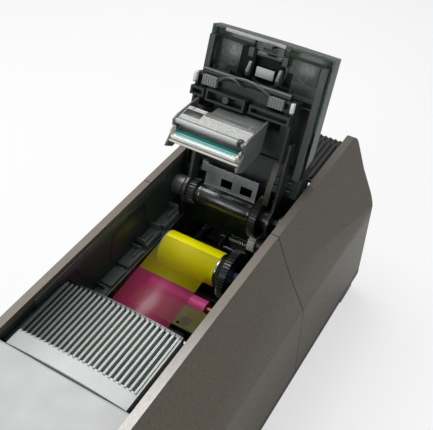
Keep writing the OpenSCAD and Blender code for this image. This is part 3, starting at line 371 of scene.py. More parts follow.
finish["ribbon_film"] = zone(
    surface("dyed_clear_film", (0.85, 0.85, 0.85), (1.0, 1.0, 1.0), 0.30, grain=300, bump=0.01,
            drift=20, rough_spread=0.03, Coat_Weight=0.15, Coat_Roughness=0.25),
    "Y", PANEL_EDGE_Y, PANEL_EDGE_WIDTH, (0.40, 0.035, 0.11), (0.62, 0.52, 0.005))
zone(finish["ribbon_film"], "Y", PANEL_EDGE_Y, PANEL_EDGE_WIDTH, (0.48,) * 3, (0.22,) * 3,
     "Alpha")
# painted highlight: the up-facing top strip of the bronze sides is paler, palest at the right
# front corner
paint_top_highlight(finish["bronze_paint"], (0.33, 0.315, 0.30), (0.135, 0.118, 0.103))
# Painted shade: over the ribs the cover's colour is multiplied darker, for the gaps between
# them.
cover_grey = zone(
    surface("front_cover_grey", (0.34, 0.35, 0.34), (0.40, 0.41, 0.40), 0.30, grain=1500,
            bump=0.1, Coat_Weight=0.25, Coat_Roughness=0.12),
    "Y", RIBS_FRONT_Y, RIBS_EDGE_WIDTH, (1, 1, 1), (0.42, 0.44, 0.43))
t = cover_grey.node_tree
place = object_place(t)
shader = t.nodes["Principled BSDF"]
# Painted shade: a thin dark line in each rib's pitch, where the rib is grooved.
fold = maths(t, "PINGPONG", place["X"], RIB_PITCH / 2 * MM)
painted_groove_shade = ranged(t, fold, (RIB_PITCH / 2 - 0.32) * MM, (RIB_PITCH / 2 - 0.2) * MM, 1.0, 0.25)
# Painted light and shade across the ribs: darkest at the left, brighter towards the right.
painted_light_across_ribs = ranged(t, place["X"], -62 * MM, 10 * MM, 0.1, 2.6)
behind = maths(t, "GREATER_THAN", place["Y"], RIBS_FRONT_Y * MM)
scaled = t.nodes.new("ShaderNodeVectorMath")
scaled.operation = "SCALE"
t.links.new(shader.inputs["Base Color"].links[0].from_socket, scaled.inputs[0])
t.links.new(only_behind(t, behind, 1.0, maths(t, "MULTIPLY", painted_groove_shade, painted_light_across_ribs)),
            scaled.inputs["Scale"])
t.links.new(scaled.outputs["Vector"], shader.inputs["Base Color"])
calm = ranged(t, place["X"], -45 * MM, 25 * MM, 0.0, 0.5)
for socket, in_front in (("Specular IOR Level", 0.5), ("Coat Weight", 0.25)):
    t.links.new(only_behind(t, behind, in_front, calm), shader.inputs[socket])
zone(cover_grey, "Y", RIBS_REAR_Y, RIBS_EDGE_WIDTH, (1, 1, 1), (0.05, 0.055, 0.053))
print("the cover's ribs run from", RIBS_FRONT_Y, "to", RIBS_REAR_Y)

# %% [markdown]
# ## Finishes for single nodes
# A slot groups parts of one material, but some parts of a slot look different in the
# photograph: the barrel's plate is pale zinc, the roller pink, its axle copper-coloured and
# the hinge shaft blackened. These take the place of the slot's finish on their own node.

# %% Finishes of single nodes and of small pieces
special = {
    "ribbed_cover": cover_grey,
    "pivot_barrel": surface("pale_zinc_plate", (0.15, 0.158, 0.155), (0.27, 0.28, 0.275), 0.28,
                            grain=600, bump=0.05, drift=30, Metallic=0.6),
    "pivot_caps": surface("dull_hub_metal", (0.085, 0.09, 0.088), (0.13, 0.137, 0.134), 0.38,
                          grain=700, bump=0.1, Metallic=0.5),
    "latch": surface("black_latch_nylon", (0.016, 0.018, 0.017), (0.030, 0.033, 0.031), 0.3,
                     grain=900, bump=0.1),
    "wall_liners": surface("green_black_liner", (0.010, 0.018, 0.015), (0.020, 0.033, 0.027),
                           0.42, grain=1500, bump=0.2, Specular_IOR_Level=0.4),
    # the ledges' own green grey, lifted lighter as painted sheen for the gloss on their tops
    "ledges": surface("green_grey_ledge_painted_sheen", (0.060, 0.068, 0.063), (0.090, 0.100, 0.094), 0.40,
                      grain=1300, bump=0.15),
    "carriage_frame": surface("black_carriage_plastic", (0.008, 0.011, 0.010),
                              (0.018, 0.022, 0.021), 0.30, grain=1500, bump=0.15,
                              Specular_IOR_Level=0.35),
    "lid_frame": surface("grey_green_frame", (0.024, 0.030, 0.027), (0.042, 0.050, 0.047), 0.30,
                         grain=1300, bump=0.12, drift=30, Specular_IOR_Level=0.35),
    "lid_arms": surface("black_coated_steel", (0.016, 0.018, 0.018), (0.030, 0.033, 0.032), 0.3,
                        grain=900, bump=0.1),
    "platen_roller": surface("pink_roller", (0.98, 0.09, 0.36), (1.0, 0.16, 0.46), 0.40,
                             grain=900, bump=0.15, Specular_IOR_Level=0.3),
    "platen_axle": surface("copper_plated_axle", (0.30, 0.085, 0.045), (0.44, 0.13, 0.07), 0.36,
                           grain=500, bump=0.05, Metallic=0.85),
    "hinge_shaft": surface("blackened_steel_shaft", (0.045, 0.048, 0.047),
                           (0.075, 0.080, 0.078), 0.34, grain=500, bump=0.05, Metallic=0.8),
    "head_fittings": surface("plated_side_plate", (0.075, 0.080, 0.078), (0.14, 0.147, 0.144),
                             0.36, grain=700, bump=0.15, drift=40, Metallic=0.3),
    "carriage_trim": surface("knurled_grey_plastic", (0.10, 0.102, 0.10), (0.20, 0.20, 0.20),
                             0.5, grain=1200, bump=0.5),
    "card_strips": surface("amber_strip", (0.12, 0.10, 0.008), (0.19, 0.16, 0.015), 0.34,
                           grain=500, bump=0.04, Specular_IOR_Level=0.3),
}
cable_mat = surface("dark_flat_cable", (0.018, 0.018, 0.010), (0.036, 0.033, 0.018), 0.30,
                    grain=400, bump=0.04, Specular_IOR_Level=0.3)
sleeve_mat = surface("dark_polished_metal", (0.060, 0.066, 0.064), (0.11, 0.118, 0.116), 0.24,
                     grain=600, bump=0.05, Metallic=0.85)
rim_green = surface("green_black_rim", (0.020, 0.034, 0.024), (0.034, 0.052, 0.039), 0.16,
                    grain=500, bump=0.03, Specular_IOR_Level=0.4)
trace_mat = surface("grey_printed_trace", (0.34, 0.36, 0.35), (0.48, 0.50, 0.49), 0.35,
                    grain=900, bump=0.05)
lid_grey = surface("lid_pad_grey", (0.056, 0.062, 0.062), (0.086, 0.093, 0.092), 0.26,
                   grain=900, bump=0.08, drift=30)
# A near-black with little gloss: painted shade for the dark slot and pocket inside the lid.
painted_shade_black = surface("near_black_painted_shade", (0.003, 0.004, 0.004), (0.008, 0.010, 0.009), 0.45,
                       grain=1300, bump=0.1, Specular_IOR_Level=0.1)
print("nodes with a finish of their own:", sorted(special))

# %% [markdown]
# ## Dress the CAD nodes
# A CAD mesh arrives as loose triangles with knife edges. Real mouldings and folded sheet
# have a small round on every edge, which catches the light. A Weld modifier closes the
# triangles, a Bevel rounds what is sharper than 35 degrees, and a Weighted Normal keeps the
# flats flat. The stored mesh stays untouched.

# %% A round edge and a finish on every CAD node
USUAL_ROUND, SEAM_GAP, EDGE_ANGLE = 0.3, 0.005 * MM, math.radians(35)
ROUND = {"rod_springs": 0, "ribbon_film": 0, "supply_film_roll": 0.25, "takeup_spool": 0.25,
         "lid_shell": 0.5, "base_tray": 1.2, "side_panel_left_front": 0.7,
         "side_panel_left_rear": 0.7, "side_panel_right_front": 0.7,
         "side_panel_right_rear": 0.7, "hopper_cover": 0.9, "front_bezel": 0.6,
         "output_tray": 0.7, "heat_sink": 0.6, "carriage_frame": 0.5, "pivot_barrel": 0.5,
         "rubber_feet": 1.0, "ledges": 0.6, "ribbed_cover": 0.3}
for name, node in nodes.items():
    node.data.materials.clear()
    node.data.materials.append(special.get(name, finish[slot_of[name]]))
    for face in node.data.polygons:
        face.use_smooth = True
    size = ROUND.get(name, USUAL_ROUND) * MM
    weld = node.modifiers.new("close_seams", "WELD")
    weld.merge_threshold = SEAM_GAP
    if size:
        edge = node.modifiers.new("round_edges", "BEVEL")
        edge.width = size
        edge.segments = 2
        edge.limit_method = "ANGLE"
        edge.angle_limit = EDGE_ANGLE
        even = node.modifiers.new("flat_flats", "WEIGHTED_NORMAL")
        even.keep_sharp = True
print("dressed nodes:", len(nodes))

# %% [markdown]
# ## Building small pieces
# Every small piece is a closed solid made by bmesh operators: blocks, rods and rings that are
# bevelled, inset or spun. Places are written in millimetres in the CAD frame. A piece of the
# lid is modelled where it lies with the lid closed, then turned by the lid's own matrix.

# %% Helpers that build and place a piece
def add_block(bm, x, y, z):
    """A block between the two values given for each axis."""
    middle = Vector(((x[0] + x[1]) / 2, (y[0] + y[1]) / 2, (z[0] + z[1]) / 2)) * MM
    size = Vector((x[1] - x[0], y[1] - y[0], z[1] - z[0])) * MM
    place = Matrix.Translation(middle) @ Matrix.Diagonal((*size, 1))
    bmesh.ops.create_cube(bm, size=1, matrix=place)


def add_rod(bm, start, end, radius, end_radius=None, sides=24):
    """A round rod or cone between two points."""
    start, end = Vector(start) * MM, Vector(end) * MM
    along = end - start
    place = (Matrix.Translation((start + end) / 2)
             @ along.to_track_quat("Z", "Y").to_matrix().to_4x4())
    last = radius if end_radius is None else end_radius
    return bmesh.ops.create_cone(bm, cap_ends=True, segments=sides, radius1=radius * MM,
                                 radius2=last * MM, depth=along.length, matrix=place)["verts"]


def add_ring(bm, centre, axis, inner, outer, width, sides=32):
    """A flat ring: its section is a small rectangle, spun once around the axis."""
    axis = Vector(axis).normalized()
    centre = Vector(centre) * MM
    out = axis.orthogonal().normalized()
    across = axis.cross(out)
    middle = centre + out * ((inner + outer) / 2 * MM)
    frame_at = Matrix((out, axis, across)).transposed().to_4x4()
    stretch = Matrix.Diagonal(((outer - inner) * MM, width * MM, 1, 1))
    section = bmesh.ops.create_grid(bm, x_segments=1, y_segments=1, size=0.5,
                                    matrix=Matrix.Translation(middle) @ frame_at @ stretch)
    edges = list({e for v in section["verts"] for e in v.link_edges})
    faces = list({f for v in section["verts"] for f in v.link_faces})
    bmesh.ops.delete(bm, geom=faces, context="FACES_ONLY")
    bmesh.ops.spin(bm, geom=edges, cent=centre, axis=axis, angle=2 * math.pi, steps=sides,
                   use_merge=True)


def add_prism(bm, outline, lo, hi, axis="x"):
    """A flat outline in the plane across the x or z axis, extruded from lo to hi."""
    def point(along, a, b):
        return Vector((along, a, b) if axis == "x" else (a, b, along)) * MM

    face = bm.faces.new([bm.verts.new(point(lo, a, b)) for a, b in outline])
    grown = bmesh.ops.extrude_face_region(bm, geom=[face], use_keep_orig=True)["geom"]
    bmesh.ops.translate(bm, vec=point(hi - lo, 0, 0),
                        verts=[g for g in grown if isinstance(g, bmesh.types.BMVert)])


def add_wire(bm, start, along, radius, sides, **turn):
    """A round wire: a small circle spun about an axis. Its ends are still open."""
    circle = bmesh.ops.create_circle(bm, cap_ends=False, radius=radius * MM, segments=sides,
                                     matrix=Matrix.Translation(start) @ along)
    edges = list({e for v in circle["verts"] for e in v.link_edges})
    bmesh.ops.spin(bm, geom=edges, **turn)


def fill_ends(bm):
    """Closes the open ends of every wire."""
    bmesh.ops.holes_fill(bm, edges=[e for e in bm.edges if e.is_boundary])


def soften(bm, width, segments=2, angle=40):
    """Rounds every edge that is sharper than the angle."""
    bmesh.ops.recalc_face_normals(bm, faces=bm.faces)
    sharp = [e for e in bm.edges
             if len(e.link_faces) == 2 and e.calc_face_angle(0) > math.radians(angle)]
    bmesh.ops.bevel(bm, geom=sharp, offset=width * MM, offset_type="OFFSET", segments=segments,
                    profile=0.5, affect="EDGES", clamp_overlap=True, material=-1)


made_pieces = []


def piece(bm, name, slot_name, body, place=None, mat=None):
    """Turns the bmesh into an object that rides on a body."""
    if place is not None:
        bmesh.ops.transform(bm, matrix=place, verts=bm.verts)
    bmesh.ops.remove_doubles(bm, verts=bm.verts, dist=1e-7)
    bmesh.ops.recalc_face_normals(bm, faces=bm.faces)
    mesh = bpy.data.meshes.new(name)
    bm.to_mesh(mesh)
    bm.free()
    mesh.shade_smooth()
    mesh.set_sharp_from_angle(angle=math.radians(38))
    mesh.materials.append(mat or finish[slot_name])
    made = bpy.data.objects.new(name, mesh)
    scene.collection.objects.link(made)
    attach(made, body)
    made_pieces.append(name)


print("helpers ready")

# %% [markdown]
# ## The print head
# The head is a die-cast block with a ceramic strip on its front edge. A teal glaze covers the
# strip's wiring, a paler one covers the heater line, and thin printed lines run beside them.
# A folded plate covers the block's rear and slopes down behind it. The block's faces stand
# level while the lid is open, so these pieces are modelled there, from the burn edge backwards
# and upwards. Each layer is a thin bevelled film, because that is how a printed layer ends.

# %% Glaze, printed lines, window and cover plate on the print head
BURN_EDGE = turned_open(0, 21.6, 121) / MM
CERAMIC_X = (-44, 18)
HEAD_X = (-46, 22.6)


def head_block(bm, x, back, up):
    """A block placed from the burn edge: so far back and so far up, lid open."""
    add_block(bm, x, (BURN_EDGE.y + back[0], BURN_EDGE.y + back[1]),
              (BURN_EDGE.z + up[0], BURN_EDGE.z + up[1]))


teal_glaze = surface("teal_glaze", (0.012, 0.20, 0.19), (0.02, 0.30, 0.27), 0.16, grain=500,
                     bump=0.03, Coat_Weight=0.7, Coat_Roughness=0.05)
pale_glaze = surface("pale_teal_glaze", (0.22, 0.46, 0.44), (0.32, 0.58, 0.55), 0.2, grain=500,
                     bump=0.03, Coat_Weight=0.6, Coat_Roughness=0.06)
bm = bmesh.new()
head_block(bm, CERAMIC_X, (6.8, 11.4), (-0.02, 0.25))
soften(bm, 0.1)
piece(bm, "teal_glaze_band", "ceramic", "head", mat=teal_glaze)
bm = bmesh.new()
head_block(bm, (CERAMIC_X[0] + 3, CERAMIC_X[1] - 3), (1.7, 4.3), (0.38, 0.55))
head_block(bm, CERAMIC_X, (5.2, 6.2), (-0.02, 0.18))
soften(bm, 0.05)
piece(bm, "pale_glaze_bands", "ceramic", "head", mat=pale_glaze)
bm = bmesh.new()
for back in (0.5, 12.3, 13.6, 14.9):
    head_block(bm, CERAMIC_X, (back, back + 0.5), (-0.02, 0.12))
soften(bm, 0.03)
piece(bm, "printed_lines", "gear_brass", "head", mat=trace_mat)
bm = bmesh.new()
head_block(bm, CERAMIC_X, (11.7, 15.9), (-0.02, 0.08))
for back in (4.45, 11.5):
    head_block(bm, CERAMIC_X, (back, back + 0.6), (-0.02, 0.3))
piece(bm, "driver_coating", "dark_plastic", "head")
bm = bmesh.new()
head_block(bm, (-45, -28), (20, 28.5), (10.98, 11.25))
soften(bm, 0.12)
piece(bm, "dark_window", "dark_plastic", "head")
bm = bmesh.new()
head_block(bm, (-27, 22), (27, 33.2), (10.9, 11.5))
add_prism(bm, [(BURN_EDGE.y + back, BURN_EDGE.z + up)
               for back, up in ((33, 11.5), (49.8, 8.7), (49.8, 7.9), (33, 10.8))], -24, 22)
soften(bm, 0.2)
piece(bm, "head_cover_plate", "grey_metal", "head", mat=special["head_fittings"])
print("head layers:", len(made_pieces))

# %% [markdown]
# ## Film bar, guard wire and fixings of the head
# The bar that smooths the film is a plated rod, the guard wire has a white sleeve, and the
# side plates hold both. Screws, a dark clip on the bar, a white cam and small white stops
# are what the photograph shows at the ends. Coil springs on the posts press the head down.

# %% Bar, wire, clip, cam, screws and springs of the head
bar_at = (BURN_EDGE.y + 11.2, BURN_EDGE.z + 9)
wire_at = (BURN_EDGE.y - 0.2, BURN_EDGE.z - 5)
cam_at = (BURN_EDGE.y + 5.5, BURN_EDGE.z + 2.5)
bm = bmesh.new()
add_rod(bm, (HEAD_X[0], *bar_at), (HEAD_X[1], *bar_at), 2.35)
soften(bm, 0.25)
piece(bm, "film_bar_sleeve", "light_plastic", "head")
bm = bmesh.new()
add_rod(bm, (HEAD_X[0], *wire_at), (HEAD_X[1], *wire_at), 1.15, sides=16)
soften(bm, 0.1)
piece(bm, "guard_wire_sleeve", "gear_white", "head")
bm = bmesh.new()
head_block(bm, (16, 19.5), (8.2, 13.5), (6.2, 12.2))
head_block(bm, (17, 21), (8.8, 12.6), (11.4, 13.2))
soften(bm, 0.5)
piece(bm, "bar_clip", "dark_plastic", "head")
bm = bmesh.new()
add_ring(bm, (-45.6, *cam_at), (1, 0, 0), 2.2, 4.4, 1.2)
add_rod(bm, (-46.2, *cam_at), (-45.4, *cam_at), 2.2)
head_block(bm, (19.2, 21.4), (0.5, 3.5), (0.1, 2.6))
head_block(bm, (19.6, 21.2), (6, 10), (0.1, 3.2))
head_block(bm, (20.2, 22.7), (-1, 2), (-11, -8.6))
soften(bm, 0.25)
piece(bm, "white_stops", "gear_white", "head")


def add_screw(bm, foot, axis, radius=2.2, height=1.2):
    """A pan-head screw: a low cone whose top is inset and sunk for the driver."""
    axis = Vector(axis).normalized()
    top = Vector(foot) + axis * height
    new = add_rod(bm, foot, top, radius, radius * 0.82, sides=20)
    faces = list({f for v in new for f in v.link_faces})
    bmesh.ops.recalc_face_normals(bm, faces=faces)
    cap = max(faces, key=lambda f: f.calc_center_median().dot(axis) if len(f.verts) > 4 else -9)
    bmesh.ops.inset_individual(bm, faces=[cap], thickness=radius * 0.42 * MM)
    bmesh.ops.inset_individual(bm, faces=[cap], thickness=0.03 * MM, depth=-height * 0.5 * MM)


bm = bmesh.new()
add_screw(bm, (22.7, BURN_EDGE.y + 36, BURN_EDGE.z - 8), (1, 0, 0), 2.0, 0.45)
add_screw(bm, (22.7, BURN_EDGE.y + 12, BURN_EDGE.z - 6), (1, 0, 0), 1.8, 0.45)
add_screw(bm, (-47.8, BURN_EDGE.y + 36, BURN_EDGE.z - 8), (-1, 0, 0), 0.9, 0.5)
for x in (-40, 16):
    add_screw(bm, (x, BURN_EDGE.y + 31, BURN_EDGE.z + 11), (0, 0, 1), 1.6, 0.9)
piece(bm, "head_screws", "spring_steel", "head")

SPRING_TURNS, SPRING_RISE, SPRING_RADIUS = 5, 14.0, 3.9
bm = bmesh.new()
for x in (-36, 10):
    foot = Vector((x, 10, 154)) * MM
    steps = SPRING_TURNS * 20
    add_wire(bm, foot + Vector((SPRING_RADIUS, 0, 0)) * MM, Matrix.Rotation(math.pi / 2, 4, "X"),
             0.45, 8, cent=foot, axis=(0, 0, 1), dvec=(0, 0, SPRING_RISE / steps * MM),
             angle=SPRING_TURNS * 2 * math.pi, steps=steps)
fill_ends(bm)
piece(bm, "head_springs", "spring_steel", "head", place=TO_OPEN)
print("pieces so far:", len(made_pieces))

# %% [markdown]
# ## Inside of the lid
# The lid's inner tray is one grey moulding. Raised pads carry the round marks that ejector
# pins leave, and shallow ribs stiffen it. Beside the latch pocket a near-black plate is painted
# shade for the dark slot there, and the pocket's floor is black deepened with painted shade.
# The latch hangs between two plated cheeks with a bright plate, and a pale light seal runs along
# the free edge.

# %% Pads, marks, ribs, painted slot shade, latch pocket and seal inside the lid
INNER, SUNK, POCKET_Y = 192.0, 0.02, -45.7
bm = bmesh.new()
for x, y in (((-49, -27), (-58, -36)), ((25, 48), (-59, -41))):
    add_block(bm, x, y, (INNER - 0.9, INNER + SUNK))
soften(bm, 0.4)
for x, y in ((-36, -53), (-34, -41), (-43, -47), (36, -54), (35, -45)):
    add_ring(bm, (x, y, INNER - 1.0), (0, 0, 1), 3.0, 3.6, 0.5)
piece(bm, "lid_pads", "grey_plastic", "lid", place=TO_OPEN, mat=lid_grey)
bm = bmesh.new()
rib_z = (INNER - 4.2, INNER + SUNK)
for y in (-30, -22, 48, 56):
    for x in ((-51.5, -36), (27, 51.5)):
        add_block(bm, x, (y, y + 1.4), rib_z)
for x in (-51.5, -35.4, 26.2, 50.6):
    add_block(bm, (x, x + 1.2), (-33, -18), rib_z)
soften(bm, 0.3)
piece(bm, "lid_ribs", "grey_plastic", "lid", place=TO_OPEN)
bm = bmesh.new()
# painted shade: a near-black plate over the frame where the slot beside the latch pocket lies
# dark, with two thin plates beside it
add_block(bm, (-26, -11.5), (-58, -33), (186.1, INNER + SUNK))
add_block(bm, (17.6, 24.4), (-46, -33), (INNER - 0.4, INNER + SUNK))
add_block(bm, (-34, 26), (-31.2, -8), (INNER - 0.4, INNER + SUNK))
soften(bm, 0.15)
piece(bm, "lid_painted_slot_shade", "gloss_black", "lid", place=TO_OPEN, mat=painted_shade_black)
bm = bmesh.new()
arc = [math.radians(a) for a in range(-25, 206, 10)]
# the pocket's floor: black deepened to the near-black painted shade
add_prism(bm, [(17.1 * math.cos(a), POCKET_Y + 17.1 * math.sin(a)) for a in arc],
          INNER + 0.6, INNER + 1.4, axis="z")
soften(bm, 0.15)
piece(bm, "latch_pocket_floor", "gloss_black", "lid", place=TO_OPEN, mat=painted_shade_black)
bm = bmesh.new()
for x in ((-57, -17), (17, 57)):
    add_block(bm, x, (-66.5, -58.4), (INNER - 0.7, INNER + SUNK))
soften(bm, 0.25)
piece(bm, "lid_green_margin", "smoke_plastic", "lid", place=TO_OPEN, mat=rim_green)
bm = bmesh.new()
add_ring(bm, (0, POCKET_Y, INNER - 0.6), (0, 0, 1), 17.2, 19.4, 1.4, sides=48)
soften(bm, 0.3)
piece(bm, "latch_pocket_rim", "grey_plastic", "lid", place=TO_OPEN)
bm = bmesh.new()
add_block(bm, (-46, 14), (-68.6, -65.6), (186.7, 187.5))
soften(bm, 0.3)
piece(bm, "edge_light_seal", "light_plastic", "lid", place=TO_OPEN)
bm = bmesh.new()
for x in ((-16.6, -13.4), (13.4, 16.6)):
    add_prism(bm, [(-47, 190), (-38, 190), (-34, 186.5), (-34, 182.5), (-38, 181), (-47, 186)],
              x[0], x[1])
soften(bm, 0.5)
piece(bm, "latch_bracket", "grey_metal", "lid", place=TO_OPEN, mat=special["head_fittings"])
bm = bmesh.new()
add_block(bm, (-9, 9), (-44, -35), (187.4, 188.6))
soften(bm, 0.5)
piece(bm, "latch_bright_plate", "light_plastic", "lid", place=TO_OPEN)
print("pieces so far:", len(made_pieces))

# %% [markdown]
# ## Links and wiring of the carriage
# Two curved links run from the knurled pads to the middle of the carriage, and a flat cable
# leaves the head for the hinge. The links are spun arcs of a small round section. White caps
# sit on the two cam tabs at the carriage's ends, and a small cap closes the boss between them.

# %% Curved links, boss cap, tab caps and flat cable
bm = bmesh.new()
for middle, half, dip, z, radius in ((-6.5, 26.5, 7, 165.4, 1.9), (-19, 11, 5.5, 162.4, 1.4)):
    bow = half * half / (2 * dip) + dip / 2
    centre = Vector((middle, -26.5 + bow - dip, z)) * MM
    start = Vector((middle - half, -26.5, z)) * MM
    along = Vector((centre.y - start.y, start.x - centre.x, 0)).normalized()
    add_wire(bm, start, along.to_track_quat("Z", "Y").to_matrix().to_4x4(), radius, 12,
             cent=centre, axis=(0, 0, 1), angle=2 * math.asin(half / bow), steps=16)
fill_ends(bm)
soften(bm, 0.3, angle=60)
piece(bm, "curved_links", "dark_plastic", "lid", place=TO_OPEN, mat=special["lid_arms"])
bm = bmesh.new()
add_ring(bm, (-19, -12.5, 159.7), (0, 0, 1), 1.4, 3.0, 0.8)
add_rod(bm, (-19, -12.5, 159.4), (-19, -12.5, 160.2), 1.3)
soften(bm, 0.15)
piece(bm, "boss_cap", "grey_plastic", "lid", place=TO_OPEN)
bm = bmesh.new()
for x in ((-56.2, -53.4), (40.4, 43.2)):
    add_block(bm, x, (-28.2, -20), (162.3, 167.2))
soften(bm, 0.3)
piece(bm, "cam_tab_caps", "gear_white", "lid", place=TO_OPEN)
bm = bmesh.new()
add_prism(bm, [(26, 169.2), (32, 168.2), (44, 165.5), (58, 163.5), (68, 164), (68, 164.6),
               (58, 164.1), (44, 166.1), (32, 168.8), (26, 169.8)], 36.6, 42)
soften(bm, 0.12, segments=1)
piece(bm, "flat_cable", "core_blue", "lid", place=TO_OPEN, mat=cable_mat)
print("pieces so far:", len(made_pieces))

# %% [markdown]
# ## Barrel sleeve
# The hinge barrel carries a dark polished tube, clipped over the root of the pale zinc plate.
# It is three cylinders in a row, the end ones a little thinner, as a turned sleeve is.

# %% The dark sleeve on the hinge barrel
hinge_at = (HINGE.y / MM, HINGE.z / MM)
bm = bmesh.new()
for lo, hi, radius in ((-33, -29.6, 10.65), (-29.9, 20.9, 10.9), (20.6, 24, 10.65)):
    add_rod(bm, (lo, *hinge_at), (hi, *hinge_at), radius, sides=56)
soften(bm, 0.25)
piece(bm, "barrel_sleeve", "gloss_black", "lid", mat=sleeve_mat)

# %% [markdown]
# ## Inside of the bay
# The walls are deep black mouldings with a raised field, a lighter rail, a curved bead and
# small screws. Folded brackets stand on the right-hand ledge and thin fins between the ledges'
# blocks. The spools have collars, and the amber strip of the card path has a screw boss.

# %% Wall fields, beads, brackets, screws, rails, collars, rings, fins and boss
WALL, BEAD_RADIUS, LEDGE_Z, STRIP_Z = 62.6, 44, 152, 119.45
SUPPLY_AT, TAKEUP_AT = (42, 142), (-102, 139)
bm = bmesh.new()
for side in (-1, 1):
    near, far = side * WALL, side * (WALL - 0.6)
    add_prism(bm, [(-20, 168), (-12, 194), (36, 194), (42, 161), (-16, 161)],
              min(near, far), max(near, far))
soften(bm, 0.25)
piece(bm, "wall_fields", "dark_plastic", "root")
bm = bmesh.new()
for side in (-1, 1):
    centre = Vector((side * (WALL - 0.2), -20, 205)) * MM
    add_wire(bm, centre + Vector((0, -BEAD_RADIUS, 0)) * MM, Matrix(), 0.7, 8, cent=centre,
             axis=(1, 0, 0), angle=0.42 * math.pi, steps=18)
fill_ends(bm)
piece(bm, "wall_beads", "dark_plastic", "root")
bm = bmesh.new()
add_prism(bm, [(60, 158), (74, 158), (74, 172), (70, 178), (63, 178), (60, 174)], 55, 56.2)
add_block(bm, (55, 61.5), (60, 74), (158, 159.4))
add_block(bm, (55, 61), (60.4, 61.6), (158, 174))
add_block(bm, (56, 61.5), (22, 34), (158, 163))
soften(bm, 0.35)
piece(bm, "folded_brackets", "grey_metal", "root")
bm = bmesh.new()
for x in (-51.5, 55):
    for spool in (SUPPLY_AT, TAKEUP_AT):
        add_ring(bm, (x, *spool), (1, 0, 0), 4.2, 6.6, 1.6)
soften(bm, 0.3)
piece(bm, "spool_retainers", "gear_black", "root")
bm = bmesh.new()
for y in (-66, -38, -12, 17, 47):
    for x in (-56.5, 58.2):
        add_screw(bm, (x, y, LEDGE_Z), (0, 0, 1), 1.7)
for y in (-70, 46, 78):
    for x in (-49.5, 53):
        add_rod(bm, (x, y, 151.9), (x, y, 153.2), 0.8, sides=12)
for x in (-44, 46):
    add_screw(bm, (x, 74, 122), (0, 0, 1), 2.0)
piece(bm, "bay_screws", "spring_steel", "root")
bm = bmesh.new()
for near, far in ((-WALL - 0.02, -WALL + 1.1), (WALL - 1.1, WALL + 0.02)):
    add_block(bm, (near, far), (-112, 70), (198.5, 206))
    add_block(bm, (near, far), (-112, 70), (196.4, 197.4))
soften(bm, 0.25)
piece(bm, "wall_rails", "grey_plastic", "root")
bm = bmesh.new()
for x in (-46.4, 22.5):
    add_ring(bm, (x, *SUPPLY_AT), (1, 0, 0), 6.1, 9.5, 1.6)
soften(bm, 0.3)
piece(bm, "supply_flanges", "core_blue", "supply")
bm = bmesh.new()
add_ring(bm, (-43.7, *SUPPLY_AT), (1, 0, 0), 11, 16.8, 1.4, sides=56)
soften(bm, 0.2)
piece(bm, "roll_end_blue_ring", "core_blue", "supply")
bm = bmesh.new()
add_ring(bm, (17.7, *SUPPLY_AT), (1, 0, 0), 14.4, 16.8, 1.4, sides=56)
soften(bm, 0.2)
piece(bm, "roll_end_bright_ring", "spring_steel", "supply")
bm = bmesh.new()
for y, z, width in ((-57.3, 157, 8), (-40.7, 158, 8), (13.3, 161, 10), (20.7, 163, 9),
                    (43.3, 165, 11), (75.3, 166, 11)):
    add_block(bm, (-WALL, width - WALL), (y - 0.7, y + 0.7), (LEDGE_Z, z))
    add_block(bm, (WALL - 8, WALL), (y - 0.7, y + 0.7), (LEDGE_Z, z))
for y, z in (((21, 34), 161.5), ((60, 75.5), 163), ((2, 13), 159)):
    add_block(bm, (-54.6, -53.2), y, (154, z))
soften(bm, 0.3)
# the fins share the ledges' grey with its painted sheen
piece(bm, "ledge_fins", "grey_plastic", "root", mat=special["ledges"])
boss_at = (11.5, -11)
bm = bmesh.new()
for inner, outer in ((1.5, 2.6), (3.9, 5.0)):
    add_ring(bm, (*boss_at, STRIP_Z + 0.2), (0, 0, 1), inner, outer, 0.4)
add_rod(bm, (*boss_at, STRIP_Z), (*boss_at, STRIP_Z + 0.35), 0.8)
soften(bm, 0.1)
piece(bm, "strip_boss", "dark_plastic", "root")
print("pieces so far:", len(made_pieces))

# %% [markdown]
# ## Rear, sides and underside
# The photograph doesn't show these, so they get what such a machine has: screws down both
# edges of the rear panel, a raised frame round the sockets and screws under the tray.

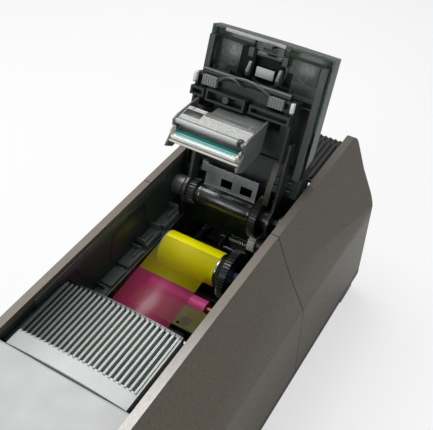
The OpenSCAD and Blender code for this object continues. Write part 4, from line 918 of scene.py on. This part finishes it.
# %% Case screws and the frame round the sockets
REAR_Y, TRAY_UNDERSIDE_Z, CASE_SCREW_RADIUS = 215, 28, 2.6
frame_y = (REAR_Y - 0.02, REAR_Y + 0.8)
bm = bmesh.new()
for x in (-57, 57):
    for z in (46, 110, 180):
        add_screw(bm, (x, REAR_Y, z), (0, 1, 0), CASE_SCREW_RADIUS)
for x in (-80, 80):
    for y in (-150, 0, 150):
        add_screw(bm, (x, y, TRAY_UNDERSIDE_Z), (0, 0, -1), CASE_SCREW_RADIUS)
piece(bm, "case_screws", "spring_steel", "root")
bm = bmesh.new()
add_block(bm, (-54, 50), frame_y, (84, 85.4))
add_block(bm, (-54, 50), frame_y, (44, 45.4))
for x in (-54, -13.6, 19.6, 48.6):
    add_block(bm, (x, x + 1.4), frame_y, (44, 85.4))
soften(bm, 0.25)
piece(bm, "socket_frame", "dark_plastic", "root")
print("pieces in all:", len(made_pieces))

# %% [markdown]
# ## Floor
# The photograph has no backdrop, only white with a soft shadow. A pale floor takes the
# shadow. Where the camera sees it, plain white is mixed in, so that it fades into the page.

# %% The pale floor
FLOOR_REACH, WHITE_IN_FLOOR = 6, 0.62
floor_bm = bmesh.new()
bmesh.ops.create_grid(floor_bm, x_segments=1, y_segments=1, size=FLOOR_REACH)
floor_mesh = bpy.data.meshes.new("floor")
floor_bm.to_mesh(floor_mesh)
floor_bm.free()
floor = bpy.data.objects.new("floor", floor_mesh)
scene.collection.objects.link(floor)
floor_mat = bpy.data.materials.new("pale_floor")
floor_mat.use_nodes = True
tree = floor_mat.node_tree
paint = tree.nodes["Principled BSDF"]
paint.inputs["Base Color"].default_value = (0.86, 0.86, 0.86, 1)
paint.inputs["Roughness"].default_value = 0.9
paint.inputs["Specular IOR Level"].default_value = 0.1
paths = tree.nodes.new("ShaderNodeLightPath")
glow = tree.nodes.new("ShaderNodeEmission")
glow.inputs["Color"].default_value = (1, 1, 1, 1)
glow.inputs["Strength"].default_value = 1.0
blend = tree.nodes.new("ShaderNodeMixShader")
tree.links.new(maths(tree, "MULTIPLY", paths.outputs["Is Camera Ray"], WHITE_IN_FLOOR),
               blend.inputs["Fac"])
tree.links.new(paint.outputs[0], blend.inputs[1])
tree.links.new(glow.outputs[0], blend.inputs[2])
tree.links.new(blend.outputs[0], tree.nodes["Material Output"].inputs["Surface"])
floor_mesh.materials.append(floor_mat)
print("floor laid")
